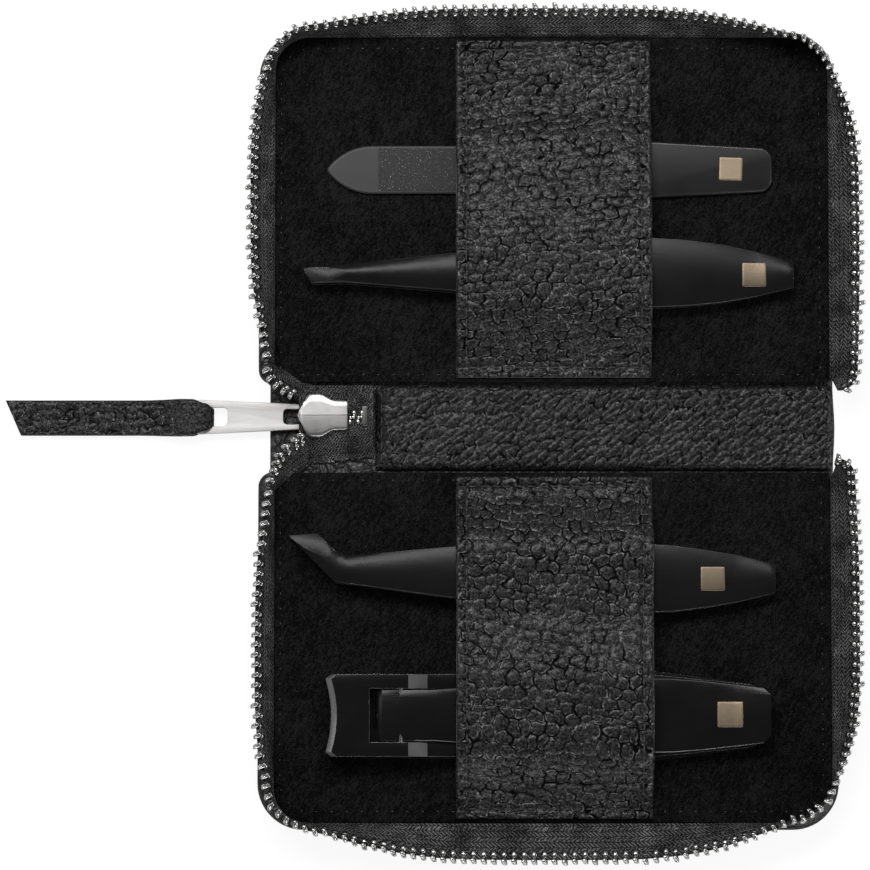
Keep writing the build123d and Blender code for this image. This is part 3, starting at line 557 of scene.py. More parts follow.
def cells(a, b, seed, jitter=(0.5, 0.36)):
    """Distance to the nearest crease between cells laid like cobbles, and each cell's own tilt."""
    spots = np.random.default_rng(seed).random((hide_repeat, hide_repeat, 4)) - 0.5
    i, j = np.floor(a).astype(int), np.floor(b).astype(int)
    spans = [(di, dj) for di in range(-2, 3) for dj in range(-2, 3)]

    def centres():
        for di, dj in spans:
            spot = spots[(i + di) % hide_repeat, (j + dj) % hide_repeat]
            shift = 0.5 * ((j + dj) % 2) + spot[..., 0] * jitter[0]
            away = np.stack((i + di + shift - a, j + dj + 0.5 + spot[..., 1] * jitter[1] - b), -1)
            yield spot, away

    far_off = 9.0
    near = np.full(a.shape, far_off)
    centre = np.zeros(a.shape + (2,))
    tilt = np.zeros(a.shape)
    for spot, away in centres():
        size = np.hypot(away[..., 0], away[..., 1])
        closer = size < near
        near = np.where(closer, size, near)
        centre = np.where(closer[..., None], away, centre)
        lean = -(away[..., 0] * spot[..., 2] + away[..., 1] * spot[..., 3])
        tilt = np.where(closer, lean + spot[..., 2] * 0.5, tilt)
    crease = np.full(a.shape, far_off)
    for _, away in centres():
        apart = away - centre
        size = np.hypot(apart[..., 0], apart[..., 1])
        middle = ((away + centre) / 2 * apart).sum(-1) / np.maximum(size, 1e-6)
        crease = np.where(size > 1e-6, np.minimum(crease, middle), crease)
    return np.maximum(crease, 0), tilt


def leather_relief(x, y, size, stretch, turn, seed, wrinkle=0.1):
    """Height from 0 in a crease to about 1 on a pebble, over arrays of places on a hide."""
    # the rows of cells are bent twice, in wide curves and in small ones
    a = (x * cos(turn) + y * sin(turn)) / (size * stretch[0]) + 20
    b = (y * cos(turn) - x * sin(turn)) / (size * stretch[1]) + 20
    a, b = (
        a + cloud(a * 0.5, b * 0.5, seed + 1) * 0.4 + cloud(a * 2.6, b * 2.6, seed + 2) * 0.14,
        b + cloud(a * 0.35, b * 0.5, seed + 3) * 0.5 + cloud(a * 2.6, b * 2.6, seed + 4) * 0.15,
    )
    crease, tilt = cells(a, b, seed)
    fine, _ = cells(a * 2.9, b * 2.9, seed + 5, (0.8, 0.8))
    depth = np.clip(0.86 + 0.4 * cloud(a * 0.9, b * 0.9, seed + 6), 0.55, 1)
    dome = (1 - np.exp(-9 * crease)) * depth + 1 - depth
    grain = cloud(x * 2.4, y * 2.4, seed + 7) * 0.07 + cloud(x * 1.1, y * 1.1, seed + 8) * 0.06
    swell = 0.16 * np.sqrt(np.clip(crease / 0.42, 0, 1))
    return dome * 0.76 + swell + tilt * 0.26 * dome + (1 - np.exp(-7 * fine)) * wrinkle + grain


def hide_material(name, light, gloss, shine):
    """Leather whose pebbles are in its mesh: shade is painted into its creases, and glints onto its pebbles'
    flanks.
    """
    shade = Shade(name)
    plain = shade.place()
    top = shade.node("ShaderNodeAttribute", output="Fac", attribute_name="pebble")
    fine = shade.noise(plain, 0.42, 3.0, 0.7)
    patches = shade.noise(plain, 8.0, 2.0)
    speckle = ((fine - 0.5) * 8 + 0.6).clamp()
    # share of the shiny leather; the rest is a flat black shader: painted shade in the creases, and dark
    # speckle at random on the pebbles
    share = ((top - 0.28) * 3.2).clamp() * (speckle * 0.75 + 0.25)
    tone = ((fine - 0.5) * 3.2 + (patches - 0.5) * 1.2 + 0.45).clamp()
    # painted glints: a narrow band on each pebble's flank gets a far lighter colour, broken up by noise
    glint_breakup = shade.noise(plain, 1.1, 3.0, 0.6)
    painted_glint = (1 - (top - 0.6).math("ABSOLUTE") * 8).clamp() * ((glint_breakup - 0.5) * 9 + 0.15).clamp()
    hide = shade.mix(painted_glint, shade.mix(tone, grey(light * 0.15), grey(light)), grey(light * 7))
    shiny = shade.node("ShaderNodeBsdfPrincipled", {
        "Base Color": hide, "Roughness": gloss + (fine - 0.5) * 0.3 - (patches - 0.5) * 0.1,
        "Specular IOR Level": shine, "Coat Weight": 0.1, "Coat Roughness": 0.2,
        "Normal": shade.bump(fine * 0.036),
    })
    # painted shade: a flat black shader for the creases, in place of their shadow, and for the dark speckle
    dull = shade.node("ShaderNodeBsdfDiffuse", {"Color": grey(0.002)})
    shade.end(shade.node("ShaderNodeMixShader", {0: share, 1: dull, 2: shiny}))
    return shade.material


def keep_relief(made, heights):
    """Stores how high each corner stands in its pebble, from which the hide's material paints shade in the
    creases and glints on the flanks.
    """
    layer = made.data.attributes.new("pebble", "FLOAT", "POINT")
    layer.data.foreach_set("value", np.asarray(heights, np.float32).ravel())


def grid_faces(rows, columns, first=0):
    """Faces of an open grid of corners, row after row."""
    faces = []
    for r in range(rows - 1):
        for c in range(columns - 1):
            a = first + r * columns + c
            faces.append((a, a + 1, a + 1 + columns, a + columns))
    return faces


def relief_sheet(name, columns, rows, surface, material, body, relief, depth):
    """Sheet over a grid of (u, v); surface gives a point and its normal, relief its pebbles."""
    us, vs = np.meshgrid(columns, rows)
    heights = relief(us, vs)
    corners = []
    for r, v in enumerate(rows):
        for c, u in enumerate(columns):
            point, normal = surface(u, v)
            corners.append(point + normal * (float(heights[r, c]) - 1) * depth)
    made = mesh_piece(name, corners, grid_faces(len(rows), len(columns)), material)
    keep_relief(made, heights)
    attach(made, body)
    return made


def steps(low, high, size):
    """Even steps from low to high, each of about a size."""
    count = max(int(round((high - low) / size)), 1)
    return [low + (high - low) * k / count for k in range(count + 1)]


def facing_surface(u, v):
    """Point on the padded facing, whose long edges and ends roll down."""
    side = min(facing_y - abs(v), facing_side_roll) / facing_side_roll
    end = min((u - facing_left) / facing_left_roll, (facing_right - u) / facing_right_roll, 1)
    roll = sqrt(max(1 - (1 - side) ** 2, 0)) * sqrt(max(1 - (1 - end) ** 2, 0))
    waves = noise.noise(Vector((u * 0.06, v * 0.12, 2.0))) * facing_wave
    return Vector((u, v, facing_low + (facing_top - facing_low + waves) * roll)), Vector((0, 0, 1))


spine_hide = hide_material("spine_grain_leather", 0.014, 0.5, 0.18)
black_thread = thread_material("black_thread", 0.012)
facing = relief_sheet(
    "spine_facing_leather", steps(facing_left, facing_right, 0.22), steps(-facing_y, facing_y, 0.2),
    facing_surface, spine_hide, "spine",
    lambda u, v: leather_relief(u, v, 1.35, (3.0, 1.0), radians(38), 4, 0.2), facing_relief,
)
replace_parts(facing, "spine_lining")
stitches(
    "spine_facing_end_seam",
    [(facing_seam_x, -facing_seam_y, facing_top), (facing_seam_x, facing_seam_y, facing_top)],
    "spine", black_thread, pitch=2.3, gap=0.6,
)

# ---------------------------------------------------------------- zip tape
# Herringbone polyester tape, sewn in between cover and lining and standing up round three sides.
# It leans outward, and at the spine's right end it curls in round the panel's corner.

wall_x0, wall_x1, wall_y1 = -53.75, 54.75, 76.95
wall_y0_left, wall_y0_right = 12.2, 9.7
wall_corner = 7.0
wall_length = 8.3
tooth_reach = 0.9
tape_thick = 0.6
flange_reach = 1.5  # of the tape below the lining's top
tape_sag, tape_ripple = 0.35, 0.3
# how far the rim leans out at: left end, left side, corner, far side, corner, right side, right end
wall_flares = {
    "upper": (1.3, 4.6, 0.3, 4.7, -2.0, 5.7, 5.1),
    "lower": (0.8, 3.3, 0.4, 7.6, -2.0, 5.1, 4.3),
}
curl_length = 5.4
curl_turn = radians(78)
curl_end_flare = 3.4
wall_left = wall_y1 - wall_corner - wall_y0_left
wall_quarter = wall_corner * pi / 2
wall_far = wall_x1 - wall_x0 - 2 * wall_corner
wall_right = wall_y1 - wall_corner - wall_y0_right
wall_end = wall_left + 2 * wall_quarter + wall_far + wall_right


def wall_foot(s):
    """Foot of the wall on the upper half and its outward direction, s along from its left end."""
    y = wall_y1 - wall_corner
    if s <= wall_left:
        return Vector((wall_x0, wall_y0_left + s, 0)), Vector((-1, 0, 0))
    s -= wall_left
    if s <= wall_quarter:
        out = Vector((-cos(s / wall_corner), sin(s / wall_corner), 0))
        return Vector((wall_x0 + wall_corner, y, 0)) + out * wall_corner, out
    s -= wall_quarter
    if s <= wall_far:
        return Vector((wall_x0 + wall_corner + s, wall_y1, 0)), Vector((0, 1, 0))
    s -= wall_far
    if s <= wall_quarter:
        out = Vector((sin(s / wall_corner), cos(s / wall_corner), 0))
        return Vector((wall_x1 - wall_corner, y, 0)) + out * wall_corner, out
    s -= wall_quarter
    if s <= wall_right:
        return Vector((wall_x1, y - s, 0)), Vector((1, 0, 0))
    turn = (s - wall_right) / curl_length * curl_turn
    return Vector((wall_x1, wall_y0_right, 0)), Vector((cos(turn), -sin(turn), 0))


def wall_flare(s, flares):
    """How far the rim leans out: most at mid-side, least at corners and ends."""
    if s > wall_end:
        return flares[6] + (curl_end_flare - flares[6]) * (s - wall_end) / curl_length
    corner_1 = wall_left + wall_quarter / 2
    corner_2 = corner_1 + wall_quarter + wall_far
    middle = wall_left + wall_quarter + wall_far / 2
    places = (0, wall_left * 0.55, corner_1, middle, corner_2, wall_end - wall_right / 2, wall_end)
    for k in (1, 3, 5):
        if s <= places[k + 1] or k == 5:
            other = k - 1 if s < places[k] else k + 1
            share = min(abs(s - places[k]) / abs(places[other] - places[k]), 1)
            ease = (1 - cos(pi * share**2)) / 2
            return flares[k] + (flares[other] - flares[k]) * ease


def wall_frame(s, half):
    """Foot of the wall, its outward direction and the direction up it, on either half."""
    side = 1 if half == "upper" else -1
    foot, out = wall_foot(s)
    lean = wall_flare(s, wall_flares[half]) / wall_length
    up = out * lean + Vector((0, 0, sqrt(1 - lean**2)))
    flip = Vector((1, side, 1))
    return foot * flip + Vector((0, 0, lining_top)), out * flip, up * flip


def herringbone(name, rib_width=2.3, yarn_width=0.82, stray=1.7):
    """Woven tape: slanting yarns that change direction from one rib to the next."""
    shade = Shade(name)
    plain = shade.place(kind="UV")
    bend = shade.noise(plain, 1.3, 3.0)
    lay = shade.noise(plain, 5.0, 2.0)
    along = shade.part(plain) + bend * 0.9 * stray
    up = shade.part(plain, 1) + bend * 0.7 * stray
    rib = (up / rib_width).math("FRACT") * 2 - 1
    slant = rib.math("ABSOLUTE") * 0.52 * rib_width
    yarn = ((along + slant) / yarn_width * (2 * pi)).math("SINE") * 0.5 + 0.5
    groove = ((rib.math("ABSOLUTE") * 2 - 1).math("ABSOLUTE") * -1 + 1) * 5
    yarn = yarn ** 0.8 * groove.clamp()
    fibres = shade.noise(plain, 0.16, 2.0, 0.7)
    # painted light and shade: the colour follows the yarn height, so the yarns' crests are painted lighter
    # and the grooves between yarns and between ribs darker; fibres and lay vary the tone at random
    tone = (yarn * ((fibres - 0.5) * 3.4 + (lay - 0.5) * 1.8 + 0.5)).clamp()
    return shade.surface(
        height=yarn * 0.26 + fibres * 0.02,
        **{
            "Base Color": shade.mix(tone, grey(0.0008), grey(0.15)),
            "Roughness": 0.75 - tone * 0.15, "Specular IOR Level": 0.1,
        },
    )


def tube_faces(rings, count):
    """Faces of a tube of closed rings, with its two ends."""
    last = (rings - 1) * count
    ends = [tuple(reversed(range(count))), tuple(range(last, last + count))]
    return ring_faces(rings, count) + ends


def woven_band(name, stations, material, body, thick=tape_thick):
    """Closed band of tape through stations: each has its points, their normals and their UVs."""
    corners, uvs = [], []
    for station in stations:
        for point, normal, uv in station:
            corners.append(point + normal * thick / 2)
            uvs.append(uv)
        for point, normal, uv in reversed(station):
            corners.append(point - normal * thick / 2)
            uvs.append(uv)
    made = mesh_piece(name, corners, tube_faces(len(stations), 2 * len(stations[0])), material, uvs)
    work = bmesh.new()
    work.from_mesh(made.data)
    bmesh.ops.recalc_face_normals(work, faces=work.faces)
    work.to_mesh(made.data)
    work.free()
    made.data.set_sharp_from_angle(angle=radians(50))
    if body:
        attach(made, body)
    return made


def wall_band(half):
    """Stations of one half's tape, from the left end to the tip of its curl."""
    stations, reach, levels = [], wall_length - tooth_reach, 12
    for s in steps(0, wall_end, 1.1) + steps(wall_end, wall_end + curl_length, 0.5)[1:]:
        foot, out, up = wall_frame(s, half)
        normal = (out - up * up.dot(out)).normalized()
        station = [(foot - Vector((0, 0, flange_reach)), out, (s, -flange_reach))]
        for k in range(levels + 1):
            height = reach * k / levels
            sag = tape_sag * sin(pi * k / levels)
            ripple = noise.noise(Vector((s * 0.12, height * 0.1, len(half)))) * tape_ripple * k / levels
            place = foot + up * height - normal * (sag * 0.5 + ripple * 0.4)
            station.append((place, normal, (s, height)))
        stations.append(station)
    return stations


woven_tape = herringbone("herringbone_tape")
for half in ("lower", "upper"):
    band = woven_band(f"{half}_herringbone_tape", wall_band(half), woven_tape, f"{half}_half")
    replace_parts(band, f"{half}_zip_tape")

# ---------------------------------------------------------------- zip teeth
# Bright nickel teeth, clenched one by one on the tape's corded edge.
# Each straddles the tape, narrows to a waist, and has a head with a socket for the next tooth.

tooth_pitch = 1.95
tooth_length = 2.5
tooth_sides = 12
tooth_square = 0.55  # 1 would make its section round, less makes it square
tooth_scatter = 0.1


def nickel(name, level, gloss):
    """Polished nickel plate with faint streaks of rubbing and small dull marks."""
    shade = Shade(name)
    streaks = shade.noise(shade.place((0.25, 2.5, 1)), 0.5, 3.0, 0.6)
    marks = shade.noise(shade.place(), 1.6, 4.0, 0.6)
    return shade.surface(
        height=streaks * 0.003 + marks * 0.006,
        **{
            "Base Color": shade.mix(marks, grey(level * 0.9, 0.01), grey(level * 1.1, 0.015)),
            "Metallic": 1.0, "Roughness": gloss + (streaks - 0.5) * 0.16 + (marks - 0.5) * 0.14,
        },
    )


# each ring: height up the tooth, half width across the tape, half width along it, skew of the head
tooth_rings = (
    (-0.02, 0.66, 0.4, 0), (0.1, 0.8, 0.5, 0), (0.95, 0.82, 0.52, 0), (1.15, 0.7, 0.46, 0),
    (1.32, 0.5, 0.34, 0), (1.5, 0.55, 0.36, 0.1), (1.66, 0.78, 0.48, 0.2), (2.2, 0.82, 0.5, 0.26),
    (2.42, 0.68, 0.4, 0.26), (2.5, 0.46, 0.26, 0.2), (2.3, 0.3, 0.14, 0.1),
)


def tooth_ring(half_across, half_along):
    """Rounded rectangle round a tooth's axis."""
    ring = []
    for k in range(tooth_sides):
        turn = 2 * pi * (k + 0.5) / tooth_sides
        a, b = cos(turn), sin(turn)
        ring.append((half_across * abs(a) ** tooth_square * (1 if a > 0 else -1),
                     half_along * abs(b) ** tooth_square * (1 if b > 0 else -1)))
    return ring


def tooth_row(name, places, material, body, scale=1.0):
    """One mesh of teeth; each place is the tooth's foot, its way up and its way across the tape."""
    corners, faces = [], []
    one_tooth = tube_faces(len(tooth_rings), tooth_sides)
    for foot, up, across in places:
        along = up.cross(across).normalized()
        faces += [tuple(len(corners) + k for k in face) for face in one_tooth]
        for height, wide, deep, skew in tooth_rings:
            for a, b in tooth_ring(wide, deep):
                corners.append(foot + (up * height + across * a + along * (b + skew * a / wide)) * scale)
    made = mesh_piece(name, corners, faces, material)
    made.data.set_sharp_from_angle(angle=radians(62))
    if body:
        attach(made, body)
    return made


def rim_places(half):
    """Places on the rim, each where one more tooth pitch has gone by."""
    places, gone, last = [], tooth_pitch * 0.4, None
    for s in steps(0, wall_end + curl_length, 0.1):
        foot, out, up = wall_frame(s, half)
        tip = foot + up * (wall_length - tooth_length / 2)
        gone += (tip - last).length if last else 0
        last = tip
        if gone >= tooth_pitch:
            gone -= tooth_pitch
            across = (out - up * up.dot(out)).normalized()
            tilt = noise.noise(Vector((s * 3.1, len(half), 0))) * tooth_scatter
            up = (up + across * tilt).normalized()
            places.append((foot + up * (wall_length - tooth_length), up, across))
    return places


bright_nickel = nickel("nickel_teeth", 0.28, 0.27)
for half in ("lower", "upper"):
    row = tooth_row(f"{half}_nickel_teeth", rim_places(half), bright_nickel, f"{half}_half")
    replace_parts(row, f"{half}_zip_teeth")

# ---------------------------------------------------------------- zip end on the spine
# Where the two tapes meet: they arch over the spine's left end, and their teeth close there.
# The tape's cut end is stitched under the facing, and its lower edge is frayed.

chain_y, chain_z = 2.06, 4.8
end_tape_left, end_tape_right = -48.7, -34.3
end_tape_low, end_tape_high = -7.4, 8.0
end_tape_thick = 0.5
arch_south, arch_north = 7.2, 6.0  # half widths of the arch on either side of the chain
arch_flat = 0.55  # share of a half width that is level
arch_foot = 1.45
fray_start, fray = -7, 0.35
chain_start, chain_step = -38.8, 0.78
chain_scale = 0.6
closed_teeth = 4
closed_shift, closed_foot, closed_rise = -0.3, 1.25, 0.35  # off the chain's middle, out to a foot, up
stop_round = 0.12


def end_tape_surface(y):
    """Height of the arched tape's middle over the spine at y."""
    across = (y - chain_y) / (arch_south if y < chain_y else arch_north)
    drop = max(abs(across) - arch_flat, 0) / arch_flat
    return chain_z - min(drop, 1.0) ** 1.3 * (chain_z - arch_foot)


def end_tape():
    """Arched tape between the slider and the facing; south of the chain it lies a little aslant."""
    stations = []
    for x in steps(end_tape_left, end_tape_right, 0.7):
        station = []
        for y in steps(end_tape_low, end_tape_high, 0.5):
            frayed = noise.noise(Vector((x * 1.7, y * 0.2, 5.0))) * fray if y < fray_start else 0
            slope = (end_tape_surface(y + 0.2) - end_tape_surface(y - 0.2)) / 0.4
            slant = (x - end_tape_left + 0.6) * 0.11 if y < chain_y else 0
            place = Vector((x, y + frayed + slant * (chain_y - y) / 9.5, end_tape_surface(y)))
            station.append((place, Vector((0, -slope, 1)).normalized(), (x, y + 30)))
        stations.append(station)
    return woven_band("zip_end_woven_tape", stations, fine_tape, "spine", end_tape_thick)


fine_tape = herringbone("fine_woven_tape", 1.2, 0.62, 2.2)
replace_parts(end_tape(), "zip_end_tape")

closed_places = []
for n in range(closed_teeth):
    side = 1 if n % 2 else -1
    y = chain_y + closed_shift + side * closed_foot
    foot = Vector((chain_start + chain_step * n, y, chain_z + closed_rise))
    closed_places.append((foot, Vector((0, -side, 0)), Vector((0, 0, 1))))
dull_nickel = nickel("dull_chain_nickel", 0.42, 0.3)
closed = tooth_row("closed_chain_teeth", closed_places, dull_nickel, "spine", chain_scale)
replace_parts(closed, "zip_end_teeth")
softened("zip_bottom_stop", "zip_stop_clip", stop_round, nickel("blackened_stop", 0.06, 0.4))

# each line of the open chain: its rim's points from the panel's wall to the slider's mouth
wing_lines = {
    "upper": (
        (-55.05, 12.2, 9.9), (-54.5, 9.7, 8.9), (-53.1, 8.1, 7.7), (-51.5, 6.9, 6.5), (-49.4, 5.8, 5.5),
        (-47.4, 4.6, 4.9),
    ),
    "lower": (
        (-54.55, -12.2, 9.9), (-53.7, -9.9, 9.0), (-53.0, -7.9, 8.0), (-52.3, -6.0, 7.0),
        (-50.7, -4.0, 6.0), (-48.6, -2.6, 5.2), (-47.2, -0.9, 4.9),
    ),
}
wing_feet = {
    "upper": ((-53.75, 12.2, 2.8), (-45.8, 7.9, 1.6)),
    "lower": ((-53.75, -12.2, 2.8), (-47.0, -7.2, 1.6)),
}
wing_steps, wing_levels = 30, 8
wing_last_tooth = 27  # the step where the slider's mouth hides the teeth


def smooth_line(points, count):
    """Points spaced along a smooth curve through a few given ones."""
    curve, spans = [], len(points) - 1
    points = [Vector(p) for p in points]
    for n in range(count + 1):
        place = n / count * spans
        k = min(int(place), spans - 1)
        t = place - k
        p0, p1, p2, p3 = points[max(k - 1, 0)], points[k], points[k + 1], points[min(k + 2, spans)]
        curve.append((p1 * 2 + (p2 - p0) * t + (p0 * 2 - p1 * 5 + p2 * 4 - p3) * t**2
                      + (p1 * 3 - p0 - p2 * 3 + p3) * t**3) * 0.5)
    return curve


def zip_wing(half):
    """Free stretch of tape from the wall to the slider, with its teeth; it bends at the fold."""
    rim = smooth_line(wing_lines[half], wing_steps)
    first_foot, last_foot = (Vector(p) for p in wing_feet[half])
    stations, places, gone = [], [], 0.6
    side = 1 if half == "upper" else -1
    for n, tip in enumerate(rim):
        foot = first_foot.lerp(last_foot, n / wing_steps)
        ahead = (rim[min(n + 1, wing_steps)] - rim[max(n - 1, 0)]).normalized()
        up = (tip - foot).normalized()
        normal = ahead.cross(up).normalized() * -side
        station = []
        for k in range(wing_levels + 1):
            height = (tip - foot).length * k / wing_levels
            station.append((foot.lerp(tip, k / wing_levels), normal, (n * 0.5, height)))
        stations.append(station)
        gone += (tip - rim[n - 1]).length if n else 0
        if gone >= tooth_pitch and n < wing_last_tooth:
            gone -= tooth_pitch
            places.append((tip - up * (tooth_length - tooth_reach), up, normal))
    band = woven_band(f"{half}_wing_tape", stations, woven_tape, None)
    teeth = tooth_row(f"{half}_wing_teeth", places, bright_nickel, None)
    for made in (band, teeth):
        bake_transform(made)


zip_wing("upper")
zip_wing("lower")

# ---------------------------------------------------------------- slider and puller
# Die-cast slider with a polished creased back plate, and a stamped steel puller with two eyes.
# The puller's near eye turns in the slider's bridge.

slider_nickel = nickel("polished_slider_nickel", 0.23, 0.36)
puller_nickel = nickel("polished_puller_nickel", 0.5, 0.7)
slider_round, puller_round = 0.14, 0.16
softened("zip_slider", "slider_body", slider_round, slider_nickel)
softened("zip_puller", "puller_plate", puller_round, puller_nickel, segments=3)

slider_nose, slider_length = -48.9, 9.7
slider_plate_low, slider_plate_top = 5.8, 6.82
slider_crease = 0.1
slider_rim, slider_rim_drop = 0.93, 0.2  # share of the half width where the soft rim starts
# outline of the back plate along one side: distance behind its nose, half width
slider_side = (
    (0, 0.0), (0.25, 0.75), (1.0, 2.2), (1.75, 3.55), (2.35, 4.1), (3.1, 4.15), (4.1, 4.15), (4.8, 4.05),
    (5.6, 3.55), (6.3, 3.15), (7.0, 2.9), (7.8, 2.85), (9.2, 2.85), (9.58, 2.7), (9.7, 2.35),
)


def slider_back():
    """Back plate: a low roof with a pressed crease along its middle and a soft rim."""
    shares = (
        -1, -0.985, -slider_rim, -0.8, -0.65, -0.5, -0.35, -0.2, -0.1, -0.02,
        0, 0.02, 0.1, 0.3, 0.6, slider_rim, 0.985, 1,
    )
    corners, faces = [], []
    for level in ("top", "low"):
        for behind, half in slider_side:
            for share in shares:
                rim = max(abs(share) - slider_rim, 0) / (1 - slider_rim)
                end = max(1 - (slider_length - behind) / 0.2, 0)
                nose = max(1 - behind / 0.3, 0)
                drop = slider_rim_drop * min(rim**2 + end**2 + nose**2, 1.3)
                out = abs(share) * half
                slope = 0.013 * out**2 if share < 0 else 0.03 * out
                slope += slider_crease if share == 0 else 0
                z = slider_plate_top - slope - drop if level == "top" else slider_plate_low
                corners.append((slider_nose + behind, chain_y + share * half, z))
    wide, long = len(shares), len(slider_side)
    under = wide * long
    for k in range(long - 1):
        for a in range(k * wide, k * wide + wide - 1):
            low = a + under
            faces += [(a, a + wide, a + wide + 1, a + 1), (low, low + 1, low + wide + 1, low + wide)]
        for a, flip in ((k * wide, False), (k * wide + wide - 1, True)):
            face = (a, a + under, a + under + wide, a + wide)
            faces.append(face[::-1] if flip else face)
    for a in range(under - wide, under - 1):
        faces.append((a, a + under, a + under + 1, a + 1))
    made = mesh_piece("slider_back_plate", corners, faces, slider_nickel)
    made.data.set_sharp_from_angle(angle=radians(40))
    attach(made, "slider")


slider_back()

# ---------------------------------------------------------------- straps
# Pebbled cowhide strap over each pair of tools, its raw edges left bare and a little lighter.
# It is stitched down at both ends and has a row of stitches along each side.

strap_left, strap_right = -18.2, 19.8
strap_thick = 1.2
strap_bend = 3.2
strap_relief = 0.34
strap_seam_x, strap_seam_v, strap_stitch = 2.0, 1.9, 2.3  # from the sides, from the ends, pitch
seam_dip, seam_reach = 0.16, 0.8
hole_dip, hole_reach = 0.5, 0.4
strap_roll, strap_roll_reach, strap_end_reach = 0.3, 0.5, 0.4
strap_sway, strap_puff = 0.35, 0.25
# each line runs over the tools from the spine to the far side: distance from the spine, height
upper_strap_line = (
    (9.7, 2.8), (14.1, 2.8), (22.4, 8.48), (37.0, 8.48), (56.85, 4.82), (61.55, 2.8), (75.9, 2.8),
)
lower_strap_line = (
    (9.7, 2.8), (14.1, 2.8), (22.45, 8.48), (36.75, 8.48), (48.45, 10.6), (62.0, 10.5), (66.0, 8.2),
    (71.6, 2.8), (75.9, 2.8),
)


def rounded_line(points, radius):
    """Points along an open line whose corners are rounded."""
    made = [Vector(points[0])]
    for a, b, c in zip(points, points[1:], points[2:]):
        a, b, c = Vector(a), Vector(b), Vector(c)
        back, on = (a - b).normalized(), (c - b).normalized()
        angle = back.angle(on)
        wanted = radius * 1.6 * cos(angle / 2) / sin(angle / 2) + 1.2
        reach = min(wanted, (a - b).length * 0.45, (c - b).length * 0.45)
        for k in range(9):
            t = k / 8
            made.append((b + back * reach) * (1 - t) ** 2 + b * 2 * t * (1 - t) + (b + on * reach) * t**2)
    made.append(Vector(points[-1]))
    return made


def strap_track(line, side):
    """Function from a distance along a strap to its upper face's point and normal."""
    points = rounded_line(line, strap_bend)
    lengths = running_lengths(points)

    def at(distance):
        distance = min(max(distance, 0.0), lengths[-1])
        k = max(n for n in range(len(points) - 1) if lengths[n] <= distance + 1e-9)
        share = (distance - lengths[k]) / (lengths[k + 1] - lengths[k])
        return points[k].lerp(points[k + 1], min(share, 1))

    def frame_at(distance):
        way = (at(distance + 0.35) - at(distance - 0.35)).normalized()
        here = at(distance)
        normal = Vector((0, -way.y * side, way.x))
        return Vector((0, here.x * side, here.y)) + normal * strap_thick, normal

    return frame_at, lengths[-1]


def strap_holes(u, v, length):
    """Depth of the needle holes and of the seam that they draw in, at a place on a strap."""
    depth = 0.0
    for near, along in (
        (abs(u - strap_left - strap_seam_x), v), (abs(strap_right - strap_seam_x - u), v),
        (abs(v - strap_seam_v), u), (abs(length - strap_seam_v - v), u),
    ):
        if near < seam_reach:
            hole = abs((along / strap_stitch) % 1 - 0.5) * strap_stitch
            depth += seam_dip * (1 - near / seam_reach)
            depth += hole_dip * max(1 - hypot(near, hole) / hole_reach, 0)
    return depth


def close_at_ends(low, high, near, size):
    """Even steps with closer ones near both ends, where an edge is rounded."""
    first = [low + gap for gap in near[:-1]]
    last = [high - gap for gap in reversed(near[:-1])]
    return first + steps(low + near[-1], high - near[-1], size) + last


